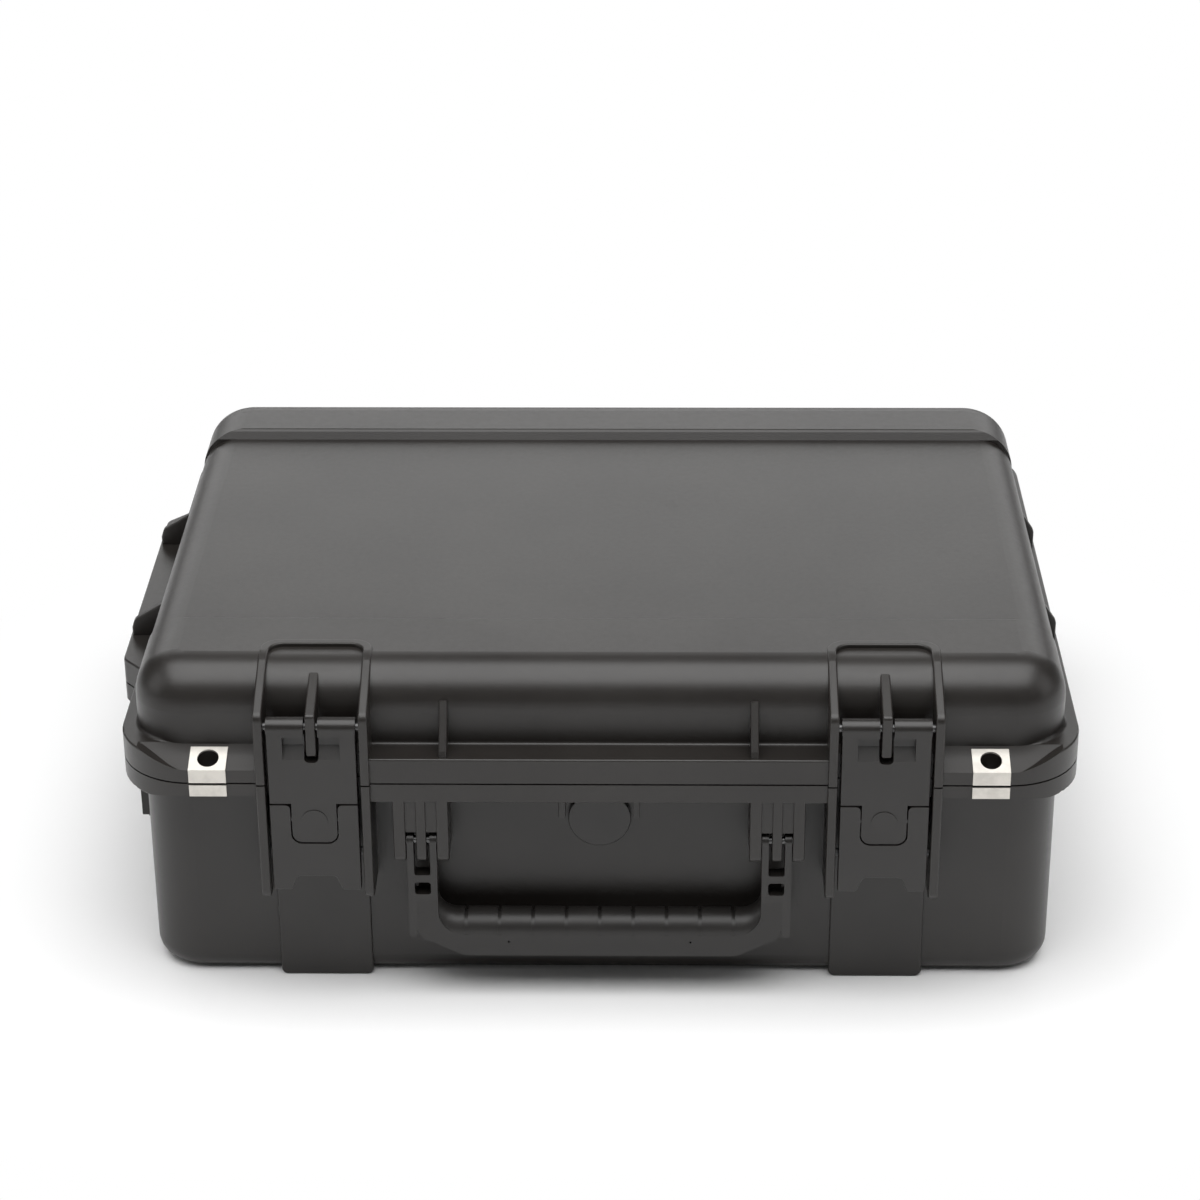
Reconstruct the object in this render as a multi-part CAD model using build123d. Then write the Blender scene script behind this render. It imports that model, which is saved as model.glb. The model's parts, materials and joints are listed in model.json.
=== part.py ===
"""Hard carrying case for guitar pedals, with its removable pedalboard stowed inside.

The case stands on its floor. +X runs to the right, -Y is the front with the latches, +Z is up,
and the origin is at the middle of the base's underside. All sizes are in millimetres.
"""

import os
from math import atan2, cos, hypot, radians, sin, tan

from build123d import *

os.makedirs("parts", exist_ok=True)

# ---------------------------------------------------------------- base and lid shells
BASE_WIDTH = 564.0  # over the base's side walls
BASE_DEPTH = 416.0  # over the base's front and rear walls
CASE_HEIGHT = 218.0  # floor to the top of the lid's raised bands
PARTING_HEIGHT = 153.0  # floor to the middle of the parting gap
PARTING_GAP = 1.0  # daylight between the two flanges
BASE_WALL = 3.5
BASE_CORNER = 32.0  # radius of the base's upright corners
BASE_EDGE = 14.0  # radius round the base's underside
LID_WALL = 4.5
DOME_SIDE = 1.5  # how far the lid's dome stands outside the base's walls
DOME_FRONT = 8.0
DOME_REAR = 3.0
DOME_CORNER = 32.0
DOME_SHOULDER = 28.0  # radius from the lid's top into its walls
DOME_FOOT = 2.0  # hollow radius where the dome meets the flange
PANEL_DROP = 6.0  # the lid's middle lies this far below its two bands
PANEL_SHOULDER = 24.0
FRONT_BAND = 74.0  # depth of the raised band along the lid's front
REAR_BAND = 62.0
STEP_RUN = 4.0  # the step from band to panel slopes over this distance
STEP_EDGE = 3.0  # rounding along the top of each step

# ---------------------------------------------------------------- flanges at the parting line
FLANGE_SIDE = 10.0  # overhang outside the base's walls
FLANGE_FRONT = 28.0
FLANGE_REAR = 12.0
FLANGE_CORNER = 46.0  # plan radius of the front corners
FLANGE_REAR_CORNER = 40.0
SIDE_CORNER = 8.0  # plan radius where the flange widens over the side handle
LID_FLANGE = 16.8  # height above the parting line
BASE_FLANGE = 13.0  # depth below the parting line
FLANGE_PLATE = 4.0  # thickness of the base flange's top plate
SKIRT = 3.0  # thickness of both flanges' outer skirts
POCKET_PITCH = 34.0  # spacing of the ribs in the hollow flanges
POCKET_RIB = 2.4
FLANGE_SOFTEN = 1.2  # rounding along the flanges' outer edges
GASKET_WIDTH = 5.0
GASKET_DEPTH = 4.5
GASKET_INSET = 3.0  # from the lid's inner wall to the gasket's groove
TONGUE_WIDTH = 2.4  # the base's ridge under the gasket
SEAT_GAP = 0.3  # clearance at rest between parts that meet across a joint

# ---------------------------------------------------------------- padlock corners
PADLOCK_OFFSET = 235.4  # from the middle of the case to each padlock hole
PADLOCK_PLATE_WIDTH = 22.5
PADLOCK_PLATE = 1.0  # thickness of the steel
PADLOCK_HOLE = 6.5  # radius
PADLOCK_SETBACK = 8.0  # hole centre behind the flange's front face
PADLOCK_LEAF = 16.6  # depth of the plates' leaves, from the flange's face
SLOPE_RUN = 21.4  # depth of the sloped ledge beside each latch
SLOPE_DROP = 7.8
EASE = (0.0, 0.15, 0.35, 0.5, 0.65, 0.85, 1.0)  # steps along an S-shaped rise
CORNER_DIP_START = 246.0  # where the ledge begins to rise again, from the middle
CORNER_DIP_END = 288.0
BASE_NOTCH = 4.6  # how much shorter the base's skirt is under the ledge

# ---------------------------------------------------------------- latches
LATCH_OFFSET = 171.9  # from the middle of the case to each latch
LATCH_BAY = 57.4  # clear width between a latch's two posts
POST_THICKNESS = 5.6
POST_PROUD = 3.0  # the posts stand in front of the flange by this
LID_POST_DROP = 18.2  # case's top down to the top of the posts' front edge
BASE_POST_DROP = 80.0  # below the parting line
POST_ROUND = 6.0
POST_SOFT = 1.2  # rounding along the posts' front edges
RIB_SOFT = 1.0  # rounding along the edges of ribs, webs and prongs
POST_LEAN = 20.0  # degrees from the level, where a post's edge meets the dome
SCOOP_LENGTH = 42.5  # the rim's outer end, behind the dome's front wall
SCOOP_DEPTH = 1.6
SCOOP_RIM = 1.0  # the rim stands this proud of the dome
SCOOP_CORNER = 12.0
LATCH_RIB = 6.0  # middle rib that carries the pivot pin
LATCH_RIB_FOOT = 18.0  # from the pivot down to the foot of the rib's front edge
LATCH_RIB_SETBACK = 1.0  # behind the posts' front edge
LATCH_RIB_ROUND = 2.5
RIB_HEEL = 3.0  # how far the ribs run into the flange they stand on
PAD_PROUD = 2.0  # thickened pad on the base below each latch
PAD_WIDTH = 58.0
PAD_CORNER = 4.0
PAD_EDGE = 1.5
LATCH_PIVOT_DROP = 28.0  # below the case's top
LATCH_PIN = 2.5  # radius
RUNNING = 0.05  # radial clearance of a pin in the part that turns on it
ARM_WIDTH = 53.6
ARM_KNUCKLE = 6.0  # radius round the pivot
ARM_THICKNESS = 8.6
ARM_SLOT = 8.6  # width of the slot round the middle rib
ARM_SLOT_REACH = 21.5  # from the pivot to the slot's end
ARM_SHOULDER = 49.8  # from the pivot to the arm's lower shoulders
TONGUE_REACH = 76.6  # from the pivot to the end of the arm's tongue
TONGUE_HALF = 13.6
WINDOW_HALF = 17.2
WINDOW_TOP = 4.2  # below the pivot
WINDOW_FLOOR = 12.0
WINDOW_BOTTOM = 19.5
WINDOW_DEEP = 5.6
ARM_SLOT_ROUND = 3.0
TONGUE_CORNER = 6.0
BAY_CLEARANCE = 2.5  # behind the arm, to the flange
TRIGGER_REACH = 110.0  # from the pivot to the trigger's lower end
TRIGGER_THICKNESS = 6.0
TRIGGER_PROUD = 0.7  # the trigger's face stands in front of the arm's
TRIGGER_GAP = 0.8  # all round the arm's tongue
TRIGGER_PIVOT = 62.0  # from the latch's pivot down to the trigger's
TRIGGER_PIN = 1.5
TRIGGER_PIN_DEPTH = 3.7  # pin's axis behind the trigger's face
TRIGGER_PIN_REACH = 4.0  # the pin runs this far into each rail of the trigger
TRIGGER_TOP_ROUND = 3.0
TRIGGER_FOOT_ROUND = 1.6
TRIGGER_NOTCH_ROUND = 2.6
LATCH_SOFT = 1.0  # rounding along the outer edges of arm and trigger
HOOK_RIB = 8.0  # width of each hook rib on the trigger's back
HOOK_RIB_RISE = 5.0  # half height at the seat
HOOK_RIB_ROOT = 9.0  # half height at the trigger's back
HOOK_SEAT = 0.8  # the seat's lips stop this far in front of the keeper's middle
SPRING_WIRE = 0.35  # radius
SPRING_WIDTH = 5.0
SPRING_LEG = 11.0
SPRING_ROOM = 0.3  # all round the spring in its pocket
GRIP_NOTCH_HEIGHT = 9.6  # finger notch in the trigger's lower end
GRIP_NOTCH_TOP = 11.4
GRIP_NOTCH_BOTTOM = 15.4
BUTTON_RADIUS = 7.9
BUTTON_PROUD = 0.5
KEEPER_RADIUS = 2.5
KEEPER_DROP = 52.0  # below the parting line
KEEPER_SETBACK = 12.5  # behind the posts' front edge
KEEPER_SOCKET = 2.8  # how far the bar runs into each post

# ---------------------------------------------------------------- ribs and gussets
FRONT_RIB_OFFSET = 93.6
FRONT_RIB = 5.0
FRONT_RIB_DROP = 19.2  # case's top down to the top of the ribs
FRONT_RIB_TOE = 4.0  # height at the flange's front edge
FRONT_RIB_SETBACK = 1.0
GUSSET = 5.0
GUSSET_OFFSET = 68.0  # from the side handle's middle
GUSSET_DROP = 26.0  # case's top down to the top of the gussets
GUSSET_SHOULDER = 0.5  # the bend, as a share of the height above the flange
GUSSET_ROUND = 6.0
GUSSET_REACH = 0.86  # share of the overhang covered before the edge turns down

# ---------------------------------------------------------------- handles
HANDLE_WIDTH = 234.0  # front handle, over its legs
SIDE_HANDLE_WIDTH = 172.0
SIDE_HANDLE_SHIFT = -3.0  # the side handle's middle, along Y
SIDE_OVERHANG = 22.5  # the flange's reach past the wall, round the side handle
SIDE_OVERHANG_LENGTH = 206.0
SIDE_OVERHANG_RUN = 14.0  # length of its slanted ends
HANDLE_PIVOT_DROP = 42.0  # below the parting line
HANDLE_PIVOT_SETBACK = 6.0  # behind the flange's face
HANDLE_PIN = 2.5
HANDLE_EYE = 5.0
LEG_WIDTH = 18.0
LEG_THICKNESS = 9.6
LEG_SLOT = 9.9  # between a leg's two prongs
LEG_SLOT_REACH = 22.8  # below the pivot
LEG_WINDOW_TOP = 27.8
LEG_WINDOW_HEIGHT = 8.6
LEG_LENGTH = 41.4  # pivot to the start of the grip
LEG_STRIP = 5.0  # width of the bare outer strip beside the grip
LEG_STRIP_REACH = 67.0
GRIP_REACH = 80.4  # pivot to the grip's lower edge
GRIP_CORNER_RUN = 28.0
GRIP_CORNER_RISE = 14.0
FRONT_GRIP_BAR = 11.8  # radius of the front handle's round bar
SIDE_GRIP_BAR = 9.4
GRIP_BAR_DROP = 65.5
GRIP_PLATE = 8.0  # thickness of the flat lower part
GRIP_GROOVE = 2.2
GRIP_GROOVE_DEPTH = 1.6  # at the top of the bar
GRIP_GROOVE_SHIFT = 1.45  # the groove's floor sits this far forward, so it fades at the front
CORE_THICKNESS = 4.0  # the frame's core inside the grip
CORE_HEIGHT = 12.0
BRACKET_PRONG = 7.2
BRACKET_MIDDLE = 6.0  # width of the middle prong
BRACKET_CLEAR = 0.5  # between a leg's prong and the bracket's
BRACKET_DROP = 55.5  # below the parting line
BRACKET_BRIDGE_DROP = 34.5
BRACKET_BRIDGE_SETBACK = 1.6
BRACKET_ROUND = 5.0
LEG_SLOT_ROUND = 1.5
LEG_WINDOW_ROUND = 1.8
LEG_STRIP_ROUND = 2.4
GRIP_CORNER_ROUND = 9.0
GRIP_CHEEK_ROUND = 16.0  # hollow radius between the flat cheeks and the flat lower edge
GRIP_VENT = 0.7  # radius of the two moulding vents
GRIP_VENT_OFFSET = 56.0
GRIP_VENT_DROP = 5.0  # below the bar's middle
GRIP_VENT_DEPTH = 2.0
GRIP_GROOVES = 9
SIDE_GRIP_GROOVES = 6
GRIP_GROOVE_MARGIN = 4.4  # from the end grooves to the curved corners
CORE_COVER = 3.0  # thickness of grip over the core

# ---------------------------------------------------------------- hinges at the rear
HINGE_OFFSET = 150.0
HINGE_LENGTH = 92.0
HINGE_KNUCKLES = 5
HINGE_KNUCKLE = 6.5  # radius
HINGE_SETBACK = 7.5  # axis behind the flange's rear face
HINGE_PIN = 2.5
HINGE_GAP = 0.5  # between neighbouring knuckles
HINGE_ARM_TRIM = 1.0  # the arms stop this far inside the flange's height

# ---------------------------------------------------------------- pressure valve
VALVE_HEIGHT = 116.0
VALVE_CAP = 19.2  # radius
VALVE_CAP_THICKNESS = 4.0
VALVE_STEM = 9.0
VALVE_BORE = 3.0
VALVE_NUT = 14.0
VALVE_NUT_THICKNESS = 6.0
VALVE_WASHER = 1.5
VALVE_CAP_EDGE = 1.0
VALVE_NUT_CLEARANCE = 2.0  # between the nut and the foam
VALVE_GUARD_OFFSET = 22.6
VALVE_GUARD = 4.4
VALVE_GUARD_DROP = 29.0  # below the parting line
VALVE_GUARD_REACH = 18.0

# ---------------------------------------------------------------- pedalboard
BOARD_WIDTH = 483.0
BOARD_DEPTH = 332.0
BOARD_HEIGHT = 42.0
BOARD_CORNER = 25.0
BOARD_EDGE = 4.0
BOARD_WALL = 3.0
BOARD_SLOT = 35.0  # depth of each cable slot
BOARD_STRIPS = 3
BOARD_SLOT_SIDE = 34.0  # solid border at the ends of the slots
BOARD_SLOT_CORNER = 9.0
BOARD_WEB = 40.0  # length of each stiffening web
BOARD_WEB_LIFT = 6.0  # the webs stop this far above the board's lower edge
BOARD_WEB_PITCH = 96.0
HOOK_THICKNESS = 2.4
HOOK_MARGIN = 9.0
FOOT_RADIUS = 9.0
FOOT_HEIGHT = 4.0
FOOT_INSET = 38.0

# ---------------------------------------------------------------- foam
FOAM_CLEARANCE = 0.3
FOAM_FLOOR = 32.0
FOAM_BELOW_RIM = 12.0
BOARD_CLEARANCE = 1.5
HAND_SLOT_WIDTH = 110.0
HAND_SLOT_DEPTH = 26.0
HAND_SLOT_ROUND = 13.0
LID_FOAM = 34.0

# ---------------------------------------------------------------- derived planes
HALF_WIDTH = BASE_WIDTH / 2
HALF_DEPTH = BASE_DEPTH / 2
BASE_TOP = PARTING_HEIGHT - PARTING_GAP / 2
LID_BOTTOM = PARTING_HEIGHT + PARTING_GAP / 2
FLANGE_FACE = -(HALF_DEPTH + FLANGE_FRONT)
FLANGE_BACK = HALF_DEPTH + FLANGE_REAR
FLANGE_X = HALF_WIDTH + FLANGE_SIDE
FLANGE_TOP = PARTING_HEIGHT + LID_FLANGE
FLANGE_UNDER = PARTING_HEIGHT - BASE_FLANGE
DOME_X = HALF_WIDTH + DOME_SIDE
DOME_FACE = -(HALF_DEPTH + DOME_FRONT)
DOME_BACK = HALF_DEPTH + DOME_REAR
PANEL_TOP = CASE_HEIGHT - PANEL_DROP
POST_FACE = FLANGE_FACE - POST_PROUD
TRIGGER_FACE = POST_FACE + SEAT_GAP
ARM_FACE = TRIGGER_FACE + TRIGGER_PROUD
LATCH_PIVOT_Y = ARM_FACE + ARM_KNUCKLE
LATCH_PIVOT_Z = CASE_HEIGHT - LATCH_PIVOT_DROP
POST_TOP = CASE_HEIGHT - LID_POST_DROP
ARM_BACK = ARM_FACE + ARM_THICKNESS
TRIGGER_PIVOT_Z = LATCH_PIVOT_Z - TRIGGER_PIVOT
TRIGGER_BACK = TRIGGER_FACE + TRIGGER_THICKNESS
TRIGGER_PIVOT_Y = TRIGGER_FACE + TRIGGER_PIN_DEPTH
PIN_HALF = TONGUE_HALF + TRIGGER_GAP + TRIGGER_PIN_REACH
SPRING_OUTER = TRIGGER_PIN + RUNNING + 2 * SPRING_WIRE
POST_OUTER = LATCH_BAY / 2 + POST_THICKNESS
BAY_FACE = ARM_BACK + BAY_CLEARANCE  # the flange is cut back to here behind a latch
RIB_FACE = POST_FACE + LATCH_RIB_SETBACK
HINGE_Y = FLANGE_BACK + HINGE_SETBACK
HANDLE_PIVOT_Z = PARTING_HEIGHT - HANDLE_PIVOT_DROP
BOARD_FLOOR = BASE_WALL + FOAM_FLOOR
LEFT, RIGHT = -1, 1
PAST = 1.0  # how far a cutting shape runs past the surface it cuts


# ---------------------------------------------------------------- helpers
def block(x0, x1, y0, y1, z0, z1):
    """A box between two corners."""
    return Pos((x0 + x1) / 2, (y0 + y1) / 2, (z0 + z1) / 2) * Box(x1 - x0, y1 - y0, z1 - z0)


def rounded_block(x0, x1, y0, y1, z0, z1, corner, top=0.0, bottom=0.0):
    """A box with rounded upright corners and, where given, rounded top or bottom edges."""
    body = block(x0, x1, y0, y1, z0, z1)
    body = fillet(body.edges().filter_by(Axis.Z), corner)
    if top:
        body = fillet(body.faces().sort_by(Axis.Z)[-1].edges(), top)
    if bottom:
        body = fillet(body.faces().sort_by(Axis.Z)[0].edges(), bottom)
    return body


def along_x(points, x0, x1):
    """A (y, z) outline carried from x0 to x1."""
    face = make_face(Polyline(*points, close=True))
    return Pos(x0, 0, 0) * extrude(Plane.YZ * face, x1 - x0)


def along_y(points, y0, y1):
    """An (x, z) outline carried from y0 to y1."""
    face = make_face(Polyline(*points, close=True))
    return Pos(0, y1, 0) * extrude(Plane.XZ * face, y1 - y0)


def along_z(points, z0, z1):
    """An (x, y) outline carried from z0 to z1."""
    face = make_face(Polyline(*points, close=True))
    return Pos(0, 0, z0) * extrude(face, z1 - z0)


def rod_x(radius, x0, x1, y, z):
    """A round bar along X."""
    return Pos((x0 + x1) / 2, y, z) * Rot(0, 90, 0) * Cylinder(radius, x1 - x0)


def rod_y(radius, y0, y1, x, z):
    """A round bar along Y."""
    return Pos(x, (y0 + y1) / 2, z) * Rot(90, 0, 0) * Cylinder(radius, y1 - y0)


def rod_z(radius, z0, z1, x, y):
    """A round bar along Z."""
    return Pos(x, y, (z0 + z1) / 2) * Cylinder(radius, z1 - z0)


def edges_near(body, axis, tests):
    """Edges parallel to an axis whose middle passes every test."""
    found = [edge for edge in body.edges().filter_by(axis) if all(test(edge.center()) for test in tests)]
    return ShapeList(found)


def soft_sided(slab, axis, radius):
    """A slab with rounded edges round its two outermost faces along an axis."""
    faces = slab.faces().sort_by(axis)
    return fillet(faces[0].edges() + faces[-1].edges(), radius)


def mirrored_pair(body):
    """A piece and its mirror image across the case's middle."""
    return [body, body.mirror(Plane.YZ)]


def save(name, *solids):
    """Write a node as one STEP file."""
    export_step(solids[0] if len(solids) == 1 else Compound(children=list(solids)), f"parts/{name}.step")


# ---------------------------------------------------------------- flanges
def flange_outline(z0, z1, inset=0.0):
    """The flange's plan shape, with the wider stretch over the side handle."""
    body = block(-FLANGE_X + inset, FLANGE_X - inset, FLANGE_FACE + inset, FLANGE_BACK - inset, z0, z1)
    front = edges_near(body, Axis.Z, [lambda c: c.Y < 0])
    body = fillet(front, FLANGE_CORNER - inset)
    rear = edges_near(body, Axis.Z, [lambda c: c.Y > FLANGE_BACK - inset - 1])
    body = fillet(rear, FLANGE_REAR_CORNER - inset)
    outer = -(HALF_WIDTH + SIDE_OVERHANG) + inset
    half = SIDE_OVERHANG_LENGTH / 2 - inset / 2
    inner = -FLANGE_X + inset
    points = [
        (inner + 1, SIDE_HANDLE_SHIFT - half - SIDE_OVERHANG_RUN),
        (inner, SIDE_HANDLE_SHIFT - half - SIDE_OVERHANG_RUN),
        (outer, SIDE_HANDLE_SHIFT - half),
        (outer, SIDE_HANDLE_SHIFT + half),
        (inner, SIDE_HANDLE_SHIFT + half + SIDE_OVERHANG_RUN),
        (inner + 1, SIDE_HANDLE_SHIFT + half + SIDE_OVERHANG_RUN),
    ]
    wide = along_z(points, z0, z1)
    wide = fillet(edges_near(wide, Axis.Z, [lambda c: c.X < outer + PAST]), SIDE_CORNER)
    return body + wide


def s_curve(start, end, low, high):
    """Points of an S-shaped rise from (start, low) to (end, high)."""
    return [(start + (end - start) * t, low + (high - low) * t * t * (3 - 2 * t)) for t in EASE]


def ledge_cut():
    """What the sloped ledge outside the left latch takes from the lid's flange."""
    back = FLANGE_FACE + SLOPE_RUN
    low = FLANGE_TOP - SLOPE_DROP
    high = FLANGE_TOP + SLOPE_DROP
    inner = -(LATCH_OFFSET + POST_OUTER)
    slope = SLOPE_DROP / SLOPE_RUN
    points = [(back + PAST, FLANGE_TOP + slope * PAST), (FLANGE_FACE - PAST, low - slope * PAST)]
    points += [(FLANGE_FACE - PAST, high), (back + PAST, high)]
    wedge = along_x(points, -CORNER_DIP_END, inner)
    knee = s_curve(-CORNER_DIP_START, -CORNER_DIP_END, low - slope, FLANGE_TOP + PAST)
    end, start, above = knee[-1], knee[0], high + PAST
    roof = Polyline(end, (end[0], above), (inner + PAST, above), (inner + PAST, start[1]), start)
    profile = make_face(Spline(*knee) + roof)
    return wedge & Pos(0, -HALF_DEPTH, 0) * extrude(Plane.XZ * profile, FLANGE_FRONT + POST_PROUD)


def base_notch():
    """What the shorter skirt outside the left latch takes from the base's flange."""
    low = FLANGE_UNDER - PAST
    high = FLANGE_UNDER + BASE_NOTCH
    inner = -(LATCH_OFFSET + POST_OUTER)
    knee = s_curve(-CORNER_DIP_START, -CORNER_DIP_END, high, low)
    floor = Polyline(knee[-1], (knee[-1][0], low - PAST), (inner, low - PAST), (inner, high), knee[0])
    profile = make_face(Spline(*knee) + floor)
    return Pos(0, -HALF_DEPTH, 0) * extrude(Plane.XZ * profile, FLANGE_FRONT + POST_PROUD)


def gasket_ring(z0, z1, width):
    """A ring along the gasket's path, of the given width."""
    middle = GASKET_INSET + GASKET_WIDTH / 2 - LID_WALL
    rings = []
    for grow in (middle + width / 2, middle - width / 2):
        x, y0, y1 = DOME_X + grow, DOME_FACE - grow, DOME_BACK + grow
        rings.append(rounded_block(-x, x, y0, y1, z0, z1, DOME_CORNER + grow))
    return rings[0] - rings[1]


def rib_slab(positions, thickness, y0, y1, z0, z1):
    """Upright ribs across the flange at the given X positions."""
    return [block(x - thickness / 2, x + thickness / 2, y0, y1, z0, z1) for x in positions]


def pitch_positions(reach, pitch):
    """Evenly spaced positions from -reach to reach, no further apart than the pitch."""
    count = max(1, round(2 * reach / pitch))
    return [-reach + 2 * reach * i / count for i in range(count + 1)]


# ---------------------------------------------------------------- latch posts
def lid_post_profile():
    """The (y, z) side view that bounds the lid's latch posts and the rim round the scoop."""
    top = CASE_HEIGHT + SCOOP_RIM
    centre_y = DOME_FACE + DOME_SHOULDER
    centre_z = CASE_HEIGHT - DOME_SHOULDER
    radius = DOME_SHOULDER + SCOOP_RIM
    lean = radians(POST_LEAN)
    touch = (centre_y - radius * sin(lean), centre_z + radius * cos(lean))
    middle = (centre_y - radius * sin(lean / 2), centre_z + radius * cos(lean / 2))
    start = (centre_y, top)
    path = Polyline(
        touch,
        (POST_FACE, POST_TOP),
        (POST_FACE, LID_BOTTOM),
        (DOME_FACE + SCOOP_LENGTH, LID_BOTTOM),
        (DOME_FACE + SCOOP_LENGTH, top),
        start,
    )
    arc = ThreePointArc(start, middle, touch)
    return make_face(path + arc)


def horseshoe(x, half, corner, end):
    """A prism over a latch, open to the front, with rounded rear corners."""
    top = CASE_HEIGHT + SCOOP_RIM + PAST
    body = block(x - half, x + half, POST_FACE - PAST, end, LID_BOTTOM - PAST, top)
    rear = edges_near(body, Axis.Z, [lambda c: c.Y > end - PAST])
    return fillet(rear, corner)


def lid_posts(x):
    """Both posts of one latch and the rim that joins them over the scoop."""
    half = LATCH_BAY / 2
    end = DOME_FACE + SCOOP_LENGTH
    wall = horseshoe(x, POST_OUTER, SCOOP_CORNER, end)
    wall -= horseshoe(x, half, SCOOP_CORNER - POST_THICKNESS / 2, end - POST_THICKNESS)
    reach = POST_OUTER + PAST
    side = Pos(x - reach, 0, 0) * extrude(Plane.YZ * lid_post_profile(), 2 * reach)
    posts = wall & side
    at_corner = [lambda c: abs(c.Y - POST_FACE) < 0.1, lambda c: abs(c.Z - POST_TOP) < 0.1]
    posts = fillet(edges_near(posts, Axis.X, at_corner), POST_ROUND)
    return fillet(edges_near(posts, Axis.Z, [lambda c: c.Y < POST_FACE + 0.1]), POST_SOFT)


def latch_rib(x):
    """The lid's middle rib, which the pivot pin passes through."""
    foot = LATCH_PIVOT_Z - LATCH_RIB_FOOT
    heel = FLANGE_TOP - RIB_HEEL
    shoulder_y = DOME_FACE + DOME_SHOULDER
    shoulder_z = CASE_HEIGHT - DOME_SHOULDER
    rise = (CASE_HEIGHT - POST_TOP) * 2 / 3
    points = [
        (shoulder_y, shoulder_z),
        (DOME_FACE + DOME_SHOULDER / 2, POST_TOP + rise),
        (RIB_FACE, POST_TOP),
        (RIB_FACE, foot),
        (BAY_FACE - PAST, foot),
        (BAY_FACE, heel),
        (shoulder_y, heel),
    ]
    rib = along_x(points, x - LATCH_RIB / 2, x + LATCH_RIB / 2)
    knee = edges_near(rib, Axis.X, [lambda c: abs(c.Y - RIB_FACE) < 0.1])
    return soft_sided(fillet(knee, LATCH_RIB_ROUND), Axis.X, RIB_SOFT)


def base_posts(x):
    """Both posts of one latch on the base."""
    low = PARTING_HEIGHT - BASE_POST_DROP
    posts = []
    for x0 in (x - POST_OUTER, x + LATCH_BAY / 2):
        post = block(x0, x0 + POST_THICKNESS, POST_FACE, -HALF_DEPTH + PAST, low, BASE_TOP)
        toe = edges_near(post, Axis.X, [lambda c: c.Y < POST_FACE + PAST, lambda c: c.Z < low + PAST])
        post = fillet(toe, POST_ROUND)
        posts.append(fillet(edges_near(post, Axis.Z, [lambda c: c.Y < POST_FACE + 0.1]), POST_SOFT))
    return posts


def base_pad(x):
    """The thick pad under a latch, which runs down to the floor."""
    half = PAD_WIDTH / 2
    pad = block(x - half, x + half, -HALF_DEPTH - PAD_PROUD, -HALF_DEPTH + BASE_EDGE, 0, FLANGE_UNDER)
    corners = edges_near(pad, Axis.Y, [lambda c: c.Z < 1])
    pad = fillet(corners, PAD_CORNER)
    rim = edges_near(pad, Axis.X, [lambda c: c.Y < -HALF_DEPTH, lambda c: c.Z < 1])
    return fillet(rim, PAD_EDGE)


# ---------------------------------------------------------------- hinges
def knuckle_spans(owner):
    """X spans of one hinge's knuckles: the base owns the even ones and the lid the odd ones."""
    pitch = HINGE_LENGTH / HINGE_KNUCKLES
    first = -HINGE_LENGTH / 2 + HINGE_GAP / 2
    own = range(0, HINGE_KNUCKLES, 2) if owner == "base" else range(1, HINGE_KNUCKLES, 2)
    return [(first + i * pitch, first + (i + 1) * pitch - HINGE_GAP) for i in own]


def hinge_knuckles(owner):
    """All knuckles of one shell, with the arms that carry them."""
    sign = -1 if owner == "base" else 1
    near = BASE_TOP if owner == "base" else LID_BOTTOM
    far = PARTING_HEIGHT + sign * (BASE_FLANGE - HINGE_ARM_TRIM)
    root = FLANGE_BACK - SKIRT / 2
    slant = HINGE_KNUCKLE * cos(radians(45))
    outline = [(root, far), (root, near), (HINGE_Y - HINGE_PIN, near)]
    outline.append((HINGE_Y + slant, PARTING_HEIGHT + sign * slant))
    pieces = []
    for middle in (-HINGE_OFFSET, HINGE_OFFSET):
        for x0, x1 in knuckle_spans(owner):
            barrel = rod_x(HINGE_KNUCKLE, middle + x0, middle + x1, HINGE_Y, PARTING_HEIGHT)
            pieces.append(barrel + along_x(outline, middle + x0, middle + x1))
    return pieces


def hinge_bores(clearance):
    """The holes through both hinges' knuckles."""
    half = HINGE_LENGTH / 2 + PAST
    radius = HINGE_PIN + clearance
    middles = (-HINGE_OFFSET, HINGE_OFFSET)
    return [rod_x(radius, x - half, x + half, HINGE_Y, PARTING_HEIGHT) for x in middles]


def hinge_pins():
    """The two steel pins."""
    half = HINGE_LENGTH / 2
    middles = (-HINGE_OFFSET, HINGE_OFFSET)
    return [rod_x(HINGE_PIN, x - half, x + half, HINGE_Y, PARTING_HEIGHT) for x in middles]


# ---------------------------------------------------------------- lid
def dome(inset):
    """The lid's dome: two full-height bands with a lower panel between them."""
    x = DOME_X - inset
    y0, y1 = DOME_FACE + inset, DOME_BACK - inset
    corner, shoulder = DOME_CORNER - inset, DOME_SHOULDER - inset
    full = rounded_block(-x, x, y0, y1, LID_BOTTOM, CASE_HEIGHT - inset, corner, top=shoulder)
    low = rounded_block(-x, x, y0, y1, LID_BOTTOM, PANEL_TOP - inset, corner, top=PANEL_SHOULDER - inset)
    return full - (panel_gap(inset) - low)


def band_edge(y, toward, top):
    """The rounded top of a step at y, falling towards +Y or -Y, ending on its slope."""
    angle = atan2(PANEL_DROP, STEP_RUN)
    reach = STEP_EDGE * tan(angle / 2)
    start = (y - toward * reach, top)
    middle = (start[0] + toward * STEP_EDGE * sin(angle / 2), top - STEP_EDGE * (1 - cos(angle / 2)))
    end = (y + toward * reach * cos(angle), top - reach * sin(angle))
    return start, middle, end


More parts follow.
